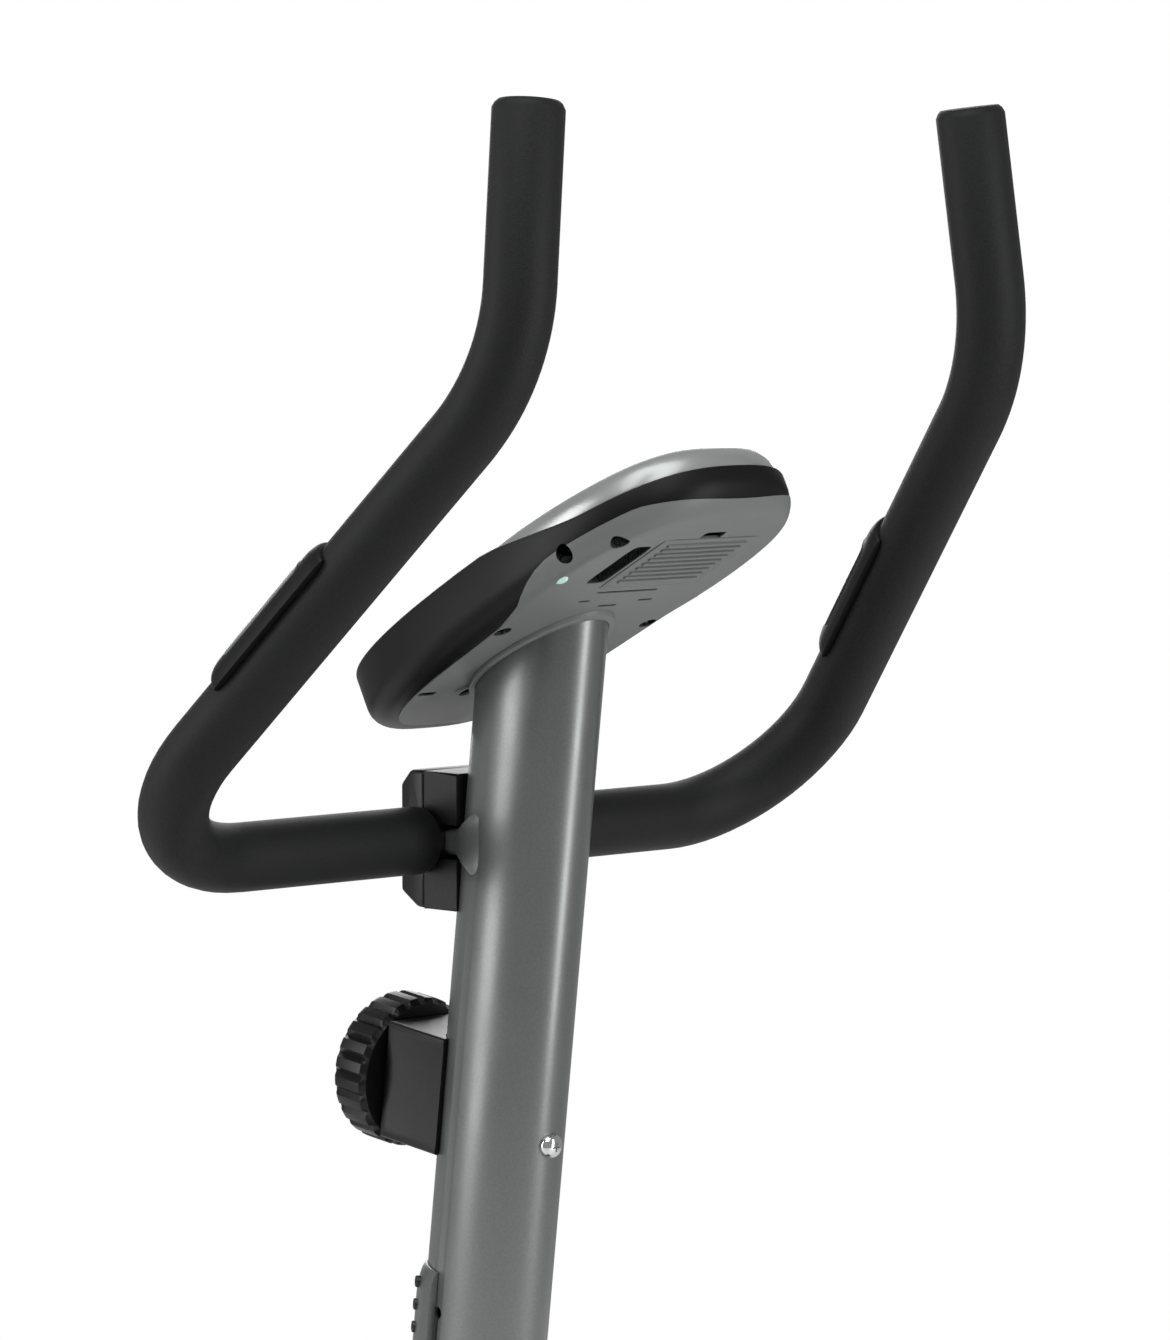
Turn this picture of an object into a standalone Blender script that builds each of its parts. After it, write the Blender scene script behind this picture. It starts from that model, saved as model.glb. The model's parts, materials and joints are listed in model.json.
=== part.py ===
"""Upright magnetic exercise bike.

Metres, +Z up. The rider faces -Y, so the console and the handlebar are at -Y and the saddle at +Y.
X = 0 is the bike's plane of symmetry, and the rider's left is +X. The origin is on the floor, under
the middle of the bike. Each object is one physical piece.
"""

import math

import bmesh
import bpy
from mathutils import Matrix, Vector

for old in list(bpy.data.objects):
    bpy.data.objects.remove(old)

# ---------------------------------------------------------------- driving dimensions
GAP = 0.0003  # what two touching pieces leave between them
WALL = 0.002  # steel tube wall
X_AXIS = Vector((1, 0, 0))

# feet and base
STABILIZER_RADIUS = 0.025
STABILIZER_HALF = 0.234
STABILIZER_Z = 0.040
FRONT_STABILIZER_Y = -0.415
REAR_STABILIZER_Y = 0.426
CAP_START, CAP_END = 0.200, 0.238
CAP_HALF_DEPTH, CAP_HEIGHT = 0.033, 0.072
WHEEL_RADIUS, WHEEL_WIDTH = 0.027, 0.020
WHEEL_Y, WHEEL_Z = -0.432, 0.033
BEAM_SIDE, BEAM_BOTTOM = 0.050, 0.0622
BEAM_TOP = BEAM_BOTTOM + BEAM_SIDE
BEAM_HALF_LENGTH = 0.445

# mast, and the handlebar's centre
MAST_LEAN = math.radians(7.0)
BAR_CENTRE = Vector((0, -0.2135, 0.950))
MAST_AT_BAR = Vector((0, -0.2625, 0.950))
MAST_HALF_X, MAST_HALF_Y = 0.027, 0.035
MAST_BOTTOM_Z = 0.575
STUB_TOP_Z = 0.700
STUB_CLEARANCE = 0.0004
STUB_FOOT = Vector((0, -0.100, 0.100))
STUB_BEND_Z = 0.400
BACKING_BOTTOM_Z, BACKING_TOP_Z, BACKING_THICK = 0.612, 0.736, 0.0045

# handlebar: the bends of its right-hand half, counted from its centre
BAR_RADIUS, BAR_WALL = 0.0127, 0.0015
BAR_CORNER = Vector((0.226, 0, 0))
BAR_UPPER_BEND = Vector((0.159, -0.214, 0.2355))
BAR_TIP = Vector((0.145, -0.2075, 0.3545))
BAR_BEND_RADII = (0.068, 0.099)
GRIP_RADIUS, GRIP_START = 0.0168, 0.0255
GRIP_END_WALL = 0.003
SENSOR_RADIUS, SENSOR_FROM, SENSOR_TO = 0.0208, 0.115, 0.200  # along the arm from its corner
CLAMP_HALF_X, CLAMP_HALF_Z, CLAMP_REAR = 0.023, 0.034, 0.018
CLAMP_BOLT_Z = 0.0245

# tension knob
KNOB_Z = 0.8215
KNOB_BASE = Vector((0.052, 0.027, 0.060))
KNOB_RADIUS, KNOB_THICK, KNOB_LOBES = 0.038, 0.024, 12
KNOB_SCREW_DROP = 0.014

# console: a tilted slab, wider at its front end
CONSOLE_CENTRE = Vector((0, -0.291, 1.075))
CONSOLE_TILT = math.radians(28.2)
CONSOLE_HALF_X, CONSOLE_HALF_Y = 0.066, 0.134
CONSOLE_POWER, CONSOLE_TAPER = 2.7, 0.16
CONSOLE_BACK_DEPTH, CONSOLE_FRONT_DEPTH, CONSOLE_WALL = 0.018, 0.0185, 0.0025
PLATE_HALF_X, PLATE_HALF_Y, PLATE_SHIFT = 0.056, 0.116, -0.003
LENS_SIZE, LENS_Y = Vector((0.084, 0.086)), -0.034
BUTTON_RADIUS, BUTTON_Y = 0.009, 0.062
DOOR_SIZE, DOOR_PLACE = Vector((0.064, 0.052)), Vector((0.008, -0.070))

# drive
CRANK = Vector((0, -0.010, 0.280))
CRANK_LENGTH, CRANK_INNER, CRANK_THICK = 0.150, 0.070, 0.014
AXLE_RADIUS = 0.010
SHELL_RADIUS, SHELL_BORE, SHELL_LEFT, SHELL_RIGHT = 0.0205, 0.0175, 0.026, -0.034
PULLEY_RADIUS, PULLEY_MIDDLE, PULLEY_HALF = 0.1080, 0.039, 0.0075
FLYWHEEL = Vector((0, -0.305, 0.255))
FLYWHEEL_RADIUS, FLYWHEEL_HALF = 0.105, 0.015
SMALL_PULLEY_RADIUS = 0.0150
SPINDLE_RADIUS = 0.006
BRACKET_LEFT, BRACKET_RIGHT, BRACKET_PLATE = 0.0545, -0.0253, 0.005
BELT_THICK, BELT_HALF = 0.004, 0.006
BRAKE_PIVOT_ANGLE, BRAKE_PIVOT_RADIUS = math.radians(150), 0.121
BRAKE_FROM, BRAKE_TO = math.radians(60), math.radians(146.5)

# housing: the hull of three discs (y, z, radius), split at X = 0
HOUSING_DISCS = ((-0.300, 0.250, 0.150), (-0.010, 0.262, 0.155), (-0.212, 0.545, 0.052))
HOUSING_HALF, HOUSING_WALL, HOUSING_ROUND = 0.066, 0.0025, 0.016

# pedals
PEDAL_INNER, PEDAL_LENGTH, PEDAL_DEPTH, PEDAL_HEIGHT = 0.092, 0.090, 0.086, 0.024
PEDAL_SPINDLE_RADIUS = 0.007
STRAP_HEIGHT, STRAP_WIDTH, STRAP_THICK, STRAP_FORWARD = 0.056, 0.026, 0.003, 0.0205

# seat
SEAT_LEAN = math.radians(14.0)
SEAT_TUBE_FOOT = Vector((0, 0.150, BEAM_TOP))
SEAT_TUBE_TOP_Z = 0.555
SEAT_TUBE_RADIUS, POST_RADIUS = 0.025, 0.019
POST_BELOW, POST_ABOVE = 0.220, 0.190
BUSH_LENGTH = 0.060
PIN_DROP = 0.040
POST_HOLE_STEP = 0.040
SADDLE_LENGTH, SADDLE_WIDTH, SADDLE_NOSE, SADDLE_THICK = 0.275, 0.235, 0.070, 0.062
SADDLE_PIVOT_RISE, SADDLE_AHEAD, SADDLE_ABOVE = 0.016, 0.130, 0.027  # from and to its pivot
SADDLE_EAR_X, SADDLE_EAR_THICK = 0.0305, 0.004
TILT_BOLT_RADIUS = 0.004


# ---------------------------------------------------------------- materials
def material(name, colour, roughness, metallic=0.0):
    made = bpy.data.materials.new(name)
    made.use_nodes = True
    shader = made.node_tree.nodes["Principled BSDF"]
    shader.inputs["Base Color"].default_value = (*colour, 1)
    shader.inputs["Roughness"].default_value = roughness
    shader.inputs["Metallic"].default_value = metallic
    return made


# ---------------------------------------------------------------- shape helpers
def frame(origin, x, y, z):
    """The matrix whose local axes are x, y and z, at origin."""
    turn = Matrix((x, y, z)).transposed().to_4x4()
    return Matrix.Translation(origin) @ turn


def across(origin):
    """A frame for wheels and axles: its local Z is the bike's X, its X is Y and its Y is Z."""
    return frame(origin, Vector((0, 1, 0)), Vector((0, 0, 1)), X_AXIS)


def loft(loops, cyclic=False):
    """A closed mesh through loops of equal length: capped at both ends, or joined end to end."""
    mesh = bmesh.new()
    rings = [[mesh.verts.new(point) for point in loop] for loop in loops]
    following = rings[1:] + rings[:1] if cyclic else rings[1:]
    for ring, other in zip(rings, following):
        for i, corner in enumerate(ring):
            j = (i + 1) % len(ring)
            mesh.faces.new((corner, ring[j], other[j], other[i]))
    if not cyclic:
        mesh.faces.new(rings[0])
        mesh.faces.new(rings[-1])
    bmesh.ops.recalc_face_normals(mesh, faces=mesh.faces)
    return mesh


def turned(profile, segments, closed=False):
    """The (radius, height) profile spun round local Z. A closed profile makes a ring."""
    mesh = bmesh.new()
    points = [mesh.verts.new((radius, 0, height)) for radius, height in profile]
    following = points[1:] + points[:1] if closed else points[1:]
    edges = [mesh.edges.new(pair) for pair in zip(points, following)]
    bmesh.ops.spin(
        mesh, geom=points + edges, cent=(0, 0, 0), axis=(0, 0, 1), angle=math.tau, steps=segments
    )
    bmesh.ops.remove_doubles(mesh, verts=mesh.verts, dist=1e-6)
    bmesh.ops.recalc_face_normals(mesh, faces=mesh.faces)
    return mesh


def cylinder(radius, low, high, segments=16):
    return turned([(0, low), (radius, low), (radius, high), (0, high)], segments)


def ring(inner, outer, low, high, segments=16):
    return turned([(inner, low), (outer, low), (outer, high), (inner, high)], segments, closed=True)


def box(low, high, bevel=0.0, segments=1):
    """A box between two corners, with its edges bevelled."""
    low, high = Vector(low), Vector(high)
    mesh = bmesh.new()
    bmesh.ops.create_cube(mesh, size=1.0)
    bmesh.ops.scale(mesh, vec=high - low, verts=mesh.verts)
    bmesh.ops.translate(mesh, vec=(low + high) / 2, verts=mesh.verts)
    if bevel:
        bmesh.ops.bevel(
            mesh, geom=mesh.edges[:], offset=bevel, segments=segments, affect="EDGES", profile=0.5
        )
    return mesh


def extruded(outline, low, high):
    """A flat outline of (x, y) points, extruded along local Z."""
    return loft([[(x, y, z) for x, y in outline] for z in (low, high)])


def ellipse(half_x, half_y, count, power=2.0, taper=0.0):
    """Points round a superellipse. A taper narrows it towards +y by that share of its width."""
    points = []
    for step in range(count):
        angle = math.tau * step / count
        c, s = math.cos(angle), math.sin(angle)
        x = half_x * math.copysign(abs(c) ** (2 / power), c)
        y = math.copysign(abs(s) ** (2 / power), s)
        points.append((x * (1 - taper * y / 2), half_y * y))
    return points


def rounded_rectangle(half_x, half_y, radius, steps=3):
    points = []
    for quarter, (sx, sy) in enumerate(((1, 1), (-1, 1), (-1, -1), (1, -1))):
        for step in range(steps + 1):
            angle = math.pi / 2 * (quarter + step / steps)
            x = sx * (half_x - radius) + radius * math.cos(angle)
            y = sy * (half_y - radius) + radius * math.sin(angle)
            points.append((x, y))
    return points


def hull_of_discs(discs, count, inset=0.0):
    """The outline round (x, y, radius) discs. Outlines with different insets have matching points."""
    points = []
    for step in range(count):
        angle = math.tau * step / count
        c, s = math.cos(angle), math.sin(angle)
        x, y, radius = max(discs, key=lambda disc: disc[0] * c + disc[1] * s + disc[2])
        points.append((x + (radius - inset) * c, y + (radius - inset) * s))
    return points


def bent_path(corners, radii, steps):
    """The corners joined by straight lines, with an arc of the given radius at each inner corner."""
    path = [corners[0]]
    for before, corner, after, radius in zip(corners, corners[1:], corners[2:], radii):
        back, ahead = (before - corner).normalized(), (after - corner).normalized()
        half = back.angle(ahead) / 2
        centre = corner + (back + ahead).normalized() * radius / math.sin(half)
        start = corner + back * radius / math.tan(half) - centre
        end = corner + ahead * radius / math.tan(half) - centre
        path += [centre + start.slerp(end, step / steps) * radius for step in range(steps + 1)]
    return path + [corners[-1]]


def sections_along(path, outline, first_axis=X_AXIS):
    """The outline carried along the path without twisting. It starts with its x along first_axis."""
    loops, side = [], first_axis
    for i, point in enumerate(path):
        ahead = path[min(i + 1, len(path) - 1)] - point
        behind = point - path[max(i - 1, 0)]
        tangent = (ahead.normalized() + behind.normalized()).normalized()
        side = (side - tangent * side.dot(tangent)).normalized()
        other = tangent.cross(side)
        loops.append([point + side * x + other * y for x, y in outline])
    return loops


def tube(path, outer, inner, first_axis=X_AXIS):
    """A hollow tube with open ends: the outer and inner outlines carried along the path."""
    outside = sections_along(path, outer, first_axis)
    inside = sections_along(path, inner, first_axis)
    return loft(outside + inside[::-1], cyclic=True)


def sector(inner, outer, start, end, steps):
    """The outline between two arcs. inner and outer give a point for an angle."""
    angles = [start + (end - start) * step / steps for step in range(steps + 1)]
    return [outer(angle) for angle in angles] + [inner(angle) for angle in reversed(angles)]


def place(name, mesh, finish, matrix=Matrix(), pivot=None):
    """Makes the object. Its origin is its matrix's, or the pivot, a point on its joint's axis."""
    if pivot is not None:
        matrix_at_pivot = Matrix.Translation(pivot)
        mesh.transform(matrix_at_pivot.inverted() @ matrix)
        matrix = matrix_at_pivot
    data = bpy.data.meshes.new(name)
    mesh.to_mesh(data)
    mesh.free()
    data.materials.append(finish)
    data.shade_smooth()
    data.set_sharp_from_angle(angle=math.radians(32))
    made = bpy.data.objects.new(name, data)
    bpy.context.scene.collection.objects.link(made)
    made.matrix_world = matrix
    return made


def helper(name, mesh, matrix=Matrix()):
    """A cutter, which isn't a piece of the bike."""
    made = place(name, mesh, HELPER, matrix)
    made.hide_render = True
    made.display_type = "WIRE"
    return made


def boolean(piece, tool, operation="DIFFERENCE"):
    modifier = piece.modifiers.new(tool.name, "BOOLEAN")
    modifier.operation = operation
    modifier.solver = "EXACT"
    modifier.object = tool


def mirrored(points):
    return [Vector((-p.x, p.y, p.z)) for p in reversed(points)]


# ---------------------------------------------------------------- frames of the tilted parts
MAST_UP = Vector((0, -math.sin(MAST_LEAN), math.cos(MAST_LEAN)))
MAST_REAR = Vector((0, math.cos(MAST_LEAN), math.sin(MAST_LEAN)))
SEAT_UP = Vector((0, math.sin(SEAT_LEAN), math.cos(SEAT_LEAN)))
SEAT_REAR = Vector((0, math.cos(SEAT_LEAN), -math.sin(SEAT_LEAN)))
CONSOLE_DOWN = Vector((0, math.cos(CONSOLE_TILT), -math.sin(CONSOLE_TILT)))
CONSOLE_OUT = Vector((0, math.sin(CONSOLE_TILT), math.cos(CONSOLE_TILT)))
CONSOLE_FRAME = frame(CONSOLE_CENTRE, X_AXIS, CONSOLE_DOWN, CONSOLE_OUT)


def on_mast(z):
    """The point of the mast's axis at height z."""
    return MAST_AT_BAR + MAST_UP * (z - MAST_AT_BAR.z) / MAST_UP.z


def mast_frame(z):
    return frame(on_mast(z), X_AXIS, MAST_REAR, MAST_UP)


def on_seat_tube(z):
    return SEAT_TUBE_FOOT + SEAT_UP * (z - SEAT_TUBE_FOOT.z) / SEAT_UP.z


def mast_solid(name, growth):
    """The mast's outer shape, grown, as a cutter for what fits round it."""
    outline = ellipse(MAST_HALF_X + growth, MAST_HALF_Y + growth, 28)
    length = 0.9
    return helper(name, extruded(outline, -length, length), mast_frame(0.8))


# ---------------------------------------------------------------- feet and base
def stabilizer(name, y):
    outer = ellipse(STABILIZER_RADIUS, STABILIZER_RADIUS, 16)
    inner = ellipse(STABILIZER_RADIUS - WALL, STABILIZER_RADIUS - WALL, 16)
    ends = [Vector((side * STABILIZER_HALF, y, STABILIZER_Z)) for side in (-1, 1)]
    place(name, tube(ends, outer, inner, Vector((0, 1, 0))), BLACK_PAINT)


def end_cap(name, side, y):
    """A moulded cap over the end of a stabilizer. Its flat underside is the foot."""
    inner, outer = sorted((side * CAP_START, side * CAP_END))
    low = (inner, y - CAP_HALF_DEPTH, 0)
    high = (outer, y + CAP_HALF_DEPTH, CAP_HEIGHT)
    made = place(name, box(low, high, bevel=0.010, segments=2), BLACK_PLASTIC)
    start, end = sorted((0, side * (STABILIZER_HALF + GAP)))
    bore = cylinder(STABILIZER_RADIUS + GAP, start, end)
    boolean(made, helper(name + "_bore", bore, across((0, y, STABILIZER_Z))))
    return made


def transport_wheel(name, side):
    """A small roller on a snap pin of the front cap. It clears the floor until the bike is tipped."""
    start = CAP_END + 0.0015
    radius, half = WHEEL_RADIUS, WHEEL_WIDTH / 2
    profile = [
        (0.0068, -half), (radius - 0.003, -half), (radius, 0.003 - half),
        (radius, half - 0.003), (radius - 0.003, half), (0.0068, half),
    ]
    centre = Vector((side * (start + half), WHEEL_Y, WHEEL_Z))
    place(name, turned(profile, 20, closed=True), RUBBER, across(centre))


def feet():
    stabilizer("front_stabilizer", FRONT_STABILIZER_Y)
    stabilizer("rear_stabilizer", REAR_STABILIZER_Y)
    for side, word in ((1, "left"), (-1, "right")):
        front = end_cap("front_cap_" + word, side, FRONT_STABILIZER_Y)
        start, end = sorted((side * (CAP_END - 0.004), side * (CAP_END + WHEEL_WIDTH + 0.003)))
        pin = cylinder(0.0065, start, end, 12)
        boolean(front, helper("wheel_pin_" + word, pin, across((0, WHEEL_Y, WHEEL_Z))), "UNION")
        end_cap("rear_cap_" + word, side, REAR_STABILIZER_Y)
        transport_wheel("transport_wheel_" + word, side)


def base_beam():
    """The long steel tube between the stabilizers, notched to sit on them."""
    half = BEAM_SIDE / 2
    outer = rounded_rectangle(half, half, 0.008)
    inner = rounded_rectangle(half - WALL, half - WALL, 0.006)
    ends = [Vector((0, y, BEAM_BOTTOM + half)) for y in (-BEAM_HALF_LENGTH, BEAM_HALF_LENGTH)]
    beam = place("base_beam", tube(ends, outer, inner), BLACK_PAINT)
    for word, y in (("front", FRONT_STABILIZER_Y), ("rear", REAR_STABILIZER_Y)):
        notch = cylinder(STABILIZER_RADIUS + GAP, -0.1, 0.1, 24)
        boolean(beam, helper(word + "_notch", notch, across((0, y, STABILIZER_Z))))


# ---------------------------------------------------------------- frame uprights
def stub_path():
    corners = [STUB_FOOT, on_mast(STUB_BEND_Z), on_mast(STUB_TOP_Z)]
    return bent_path(corners, [0.40], 3)


def stub_outline(growth):
    half_x = MAST_HALF_X - WALL - STUB_CLEARANCE
    half_y = MAST_HALF_Y - WALL - STUB_CLEARANCE
    return ellipse(half_x + growth, half_y + growth, 16)


def above_beam(name):
    """A block that trims the foot of an upright to the top of the beam."""
    return helper(name, box((-0.1, -0.5, -0.1), (0.1, 0.5, BEAM_TOP + GAP)))


def mast_stub():
    """The frame's front upright. The mast slides over its upper half."""
    stub = place("mast_stub", tube(stub_path(), stub_outline(0), stub_outline(-WALL)), BLACK_PAINT)
    boolean(stub, above_beam("stub_trim"))
    exit_hole = cylinder(0.0080, 0, 0.1, 10)
    matrix = frame(CABLE_EXIT, X_AXIS, MAST_UP, -MAST_REAR)
    boolean(stub, helper("cable_hole", exit_hole, matrix))


def seat_tube():
    """The rear upright, with the threaded boss of the height pin on its back."""
    foot = SEAT_TUBE_FOOT - SEAT_UP * 0.03
    top = on_seat_tube(SEAT_TUBE_TOP_Z)
    outer = ellipse(SEAT_TUBE_RADIUS, SEAT_TUBE_RADIUS, 20)
    inner = ellipse(SEAT_TUBE_RADIUS - WALL, SEAT_TUBE_RADIUS - WALL, 20)
    made = place("seat_tube", tube([foot, top], outer, inner), BLACK_PAINT)
    boolean(made, above_beam("seat_tube_trim"))
    matrix = frame(top - SEAT_UP * PIN_DROP, X_AXIS, -SEAT_UP, SEAT_REAR)
    boss = ring(0.0050, 0.0120, SEAT_TUBE_RADIUS - 0.0015, SEAT_TUBE_RADIUS + 0.014, 16)
    boolean(made, helper("pin_boss", boss, matrix), "UNION")
    bore = cylinder(0.0050, 0.010, 0.1, 12)
    boolean(made, helper("pin_bore", bore, matrix))


def crank_bracket():
    """The brace between the uprights, with the bottom bracket shell across it."""
    low = (-0.0125, -0.20, CRANK.z - 0.015)
    high = (0.0125, 0.22, CRANK.z + 0.015)
    made = place("crank_bracket", box(low, high), BLACK_PAINT)
    stub = loft(sections_along(stub_path(), stub_outline(GAP)))
    boolean(made, helper("stub_shape", stub))
    before_stub = box((-0.1, -0.40, 0.2), (0.1, -0.150, 0.4))
    boolean(made, helper("before_stub", before_stub))
    outline = ellipse(SEAT_TUBE_RADIUS + GAP, SEAT_TUBE_RADIUS + GAP, 20)
    rear = [SEAT_TUBE_FOOT, on_seat_tube(SEAT_TUBE_TOP_Z)]
    boolean(made, helper("seat_tube_shape", loft(sections_along(rear, outline))))
    boolean(made, helper("behind_seat_tube", box((-0.1, 0.190, 0.2), (0.1, 0.3, 0.4))))
    shell = cylinder(SHELL_RADIUS, SHELL_RIGHT, SHELL_LEFT, 18)
    boolean(made, helper("shell", shell, across(CRANK)), "UNION")
    bore = cylinder(SHELL_BORE, -0.1, 0.1, 18)
    boolean(made, helper("shell_bore", bore, across(CRANK)))


def on_flywheel(angle, radius):
    """The (y, z) point at that angle and radius round the flywheel's axis."""
    return (FLYWHEEL.y + radius * math.cos(angle), FLYWHEEL.z + radius * math.sin(angle))


def flywheel_bracket():
    """A U of plate on the beam that holds the flywheel's axle, with the brake's stud on its right."""
    pivot = on_flywheel(BRAKE_PIVOT_ANGLE, BRAKE_PIVOT_RADIUS)
    floor = BEAM_TOP + GAP
    post = hull_of_discs([(FLYWHEEL.y, FLYWHEEL.z, 0.022), (FLYWHEEL.y, floor + 0.020, 0.020)], 16)
    arm = hull_of_discs([(FLYWHEEL.y, FLYWHEEL.z, 0.016), (*pivot, 0.011)], 16)
    left, right = BRACKET_LEFT, BRACKET_RIGHT
    foot_low = (right - BRACKET_PLATE / 2, FLYWHEEL.y - 0.018, floor)
    foot_high = (left + BRACKET_PLATE / 2, FLYWHEEL.y + 0.018, floor + BRACKET_PLATE)
    made = place("flywheel_bracket", box(foot_low, foot_high), BLACK_PAINT)
    stud = cylinder(0.005, right - 0.003, 0.020, 12)
    additions = {
        "left_post": (extruded(post, left, left + BRACKET_PLATE), across((0, 0, 0))),
        "right_post": (extruded(post, right - BRACKET_PLATE, right), across((0, 0, 0))),
        "brake_arm": (extruded(arm, right - BRACKET_PLATE, right), across((0, 0, 0))),
        "brake_stud": (stud, across((0, *pivot))),
    }
    for name, (mesh, matrix) in additions.items():
        boolean(made, helper(name, mesh, matrix), "UNION")
    bore = cylinder(SPINDLE_RADIUS + GAP, -0.1, 0.1, 14)
    boolean(made, helper("flywheel_bore", bore, across(FLYWHEEL)))


# ---------------------------------------------------------------- drive
def crank_arm(name, side):
    """side 1 is the rider's left, which points forwards."""
    boss, end = (0, 0, 0.020), (-side * CRANK_LENGTH, 0, 0.0145)
    outline = hull_of_discs([boss, end], 24)
    inner = side * CRANK_INNER
    low, high = sorted((inner, inner + side * CRANK_THICK))
    arm = place(name, extruded(outline, low, high), BLACK_PAINT, across(CRANK))
    axle_bore = cylinder(AXLE_RADIUS + GAP, -0.2, 0.2, 16)
    boolean(arm, helper(name + "_axle_bore", axle_bore, across(CRANK)))
    spindle_bore = cylinder(PEDAL_SPINDLE_RADIUS + GAP, -0.3, 0.3, 12)
    centre = CRANK + Vector((0, -side * CRANK_LENGTH, 0))
    boolean(arm, helper(name + "_spindle_bore", spindle_bore, across(centre)))


def crank_set():
    reach = CRANK_INNER + CRANK_THICK - 0.002
    place("crank_axle", cylinder(AXLE_RADIUS, -reach, reach, 16), STEEL, across(CRANK))
    crank_arm("crank_arm_left", 1)
    crank_arm("crank_arm_right", -1)
    for word, start, side in (("left", SHELL_LEFT, 1), ("right", SHELL_RIGHT, -1)):
        bore, body, flange = AXLE_RADIUS + GAP, SHELL_BORE - GAP, SHELL_RADIUS
        profile = [
            (bore, -0.012), (body, -0.012), (body, GAP), (flange, GAP), (flange, 0.003), (bore, 0.003),
        ]
        profile = [(radius, start + side * height) for radius, height in profile]
        cup = turned(profile, 18, closed=True)
        place("bottom_bracket_cup_" + word, cup, STEEL, across(CRANK))
    low, high = PULLEY_MIDDLE - PULLEY_HALF, PULLEY_MIDDLE + PULLEY_HALF
    rim, hub, web = PULLEY_RADIUS - 0.010, 0.030, 0.003
    profile = [
        (AXLE_RADIUS + GAP, low), (hub, low), (hub, PULLEY_MIDDLE - web), (rim, PULLEY_MIDDLE - web),
        (rim, low), (PULLEY_RADIUS, low), (PULLEY_RADIUS, high), (rim, high),
        (rim, PULLEY_MIDDLE + web), (hub, PULLEY_MIDDLE + web), (hub, high), (AXLE_RADIUS + GAP, high),
    ]
    place("drive_pulley", turned(profile, 26, closed=True), BLACK_PLASTIC, across(CRANK))


def belt_outline(growth, count=36):
    """The hull of the two pulleys, grown: what a belt laid round them follows."""
    large = (CRANK.y, CRANK.z, PULLEY_RADIUS + growth)
    small = (FLYWHEEL.y, FLYWHEEL.z, SMALL_PULLEY_RADIUS + growth)
    return hull_of_discs([large, small], count)


def drive_belt():
    low, high = PULLEY_MIDDLE - BELT_HALF, PULLEY_MIDDLE + BELT_HALF
    faceting = 0.0012
    loops = [
        [(y, z, x) for y, z in belt_outline(growth)]
        for growth, x in (
            (faceting, low), (faceting + BELT_THICK, low),
            (faceting + BELT_THICK, high), (faceting, high),
        )
    ]
    place("drive_belt", loft(loops, cyclic=True), RUBBER, across((0, 0, 0)))


def flywheel():
    half, rim, hub, web = FLYWHEEL_HALF, FLYWHEEL_RADIUS - 0.026, 0.024, 0.005
    bore = SPINDLE_RADIUS + GAP
    profile = [
        (bore, -half - 0.006), (hub, -half - 0.006), (hub, -web), (rim, -web), (rim, -half),
        (FLYWHEEL_RADIUS, -half), (FLYWHEEL_RADIUS, half), (rim, half), (rim, web), (hub, web),
        (hub, half + 0.010), (bore, half + 0.010),
    ]
    place("flywheel", turned(profile, 26, closed=True), CAST_IRON, across(FLYWHEEL))
    low, high = PULLEY_MIDDLE - PULLEY_HALF, PULLEY_MIDDLE + PULLEY_HALF
    small = ring(bore, SMALL_PULLEY_RADIUS, low, high, 20)
    place("flywheel_pulley", small, STEEL, across(FLYWHEEL))
    axle = cylinder(SPINDLE_RADIUS, -0.040, 0.0612, 14)
    place("flywheel_axle", axle, STEEL, across(FLYWHEEL))


def brake():
    """The magnet carrier: an arc over the flywheel, which swings on a stud at its front end."""
    pivot = on_flywheel(BRAKE_PIVOT_ANGLE, BRAKE_PIVOT_RADIUS)
    pivot_point = Vector((0, *pivot))

    def arc(radius):
        return lambda angle: on_flywheel(angle, radius)

    carrier = sector(arc(0.1190), arc(0.1230), BRAKE_FROM, BRAKE_TO, 12)
    made = place("brake_bracket", extruded(carrier, -0.018, 0.018), STEEL, across((0, 0, 0)), pivot_point)
    boss = cylinder(0.0085, -0.0240, 0.018, 14)
    boolean(made, helper("brake_boss", boss, across(pivot_point)), "UNION")
    bore = cylinder(0.0053, -0.1, 0.1, 12)
    boolean(made, helper("brake_bore", bore, across(pivot_point)))
    strip = sector(arc(0.1132), arc(0.1187), BRAKE_FROM + 0.1, BRAKE_TO - 0.30, 9)
    place("brake_magnets", extruded(strip, -0.014, 0.014), STEEL, across((0, 0, 0)), pivot_point)


# ---------------------------------------------------------------- housing
def housing_half(name, side):
    """One half of the drive cover: a dished shell, open towards X = 0."""
    def outline(x, inset):
        return [(y, z, side * x) for y, z in hull_of_discs(HOUSING_DISCS, 36, inset)]

    face, wall, fillet = HOUSING_HALF, HOUSING_WALL, HOUSING_ROUND
    lean, corner = fillet * 0.3, fillet
    loops = [
        outline(face - wall, corner + wall), outline(face - wall - lean, lean + wall),
        outline(GAP / 2, wall), outline(GAP / 2, 0), outline(face - corner, 0),
        outline(face - lean, lean), outline(face, corner),
    ]
    made = place(name, loft(loops), BLACK_PLASTIC, across((0, 0, 0)))
    boolean(made, AXLE_OPENING)
    boolean(made, MAST_OPENING)
    boolean(made, BEAM_OPENING)
    boolean(made, BRACE_OPENING)


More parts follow.
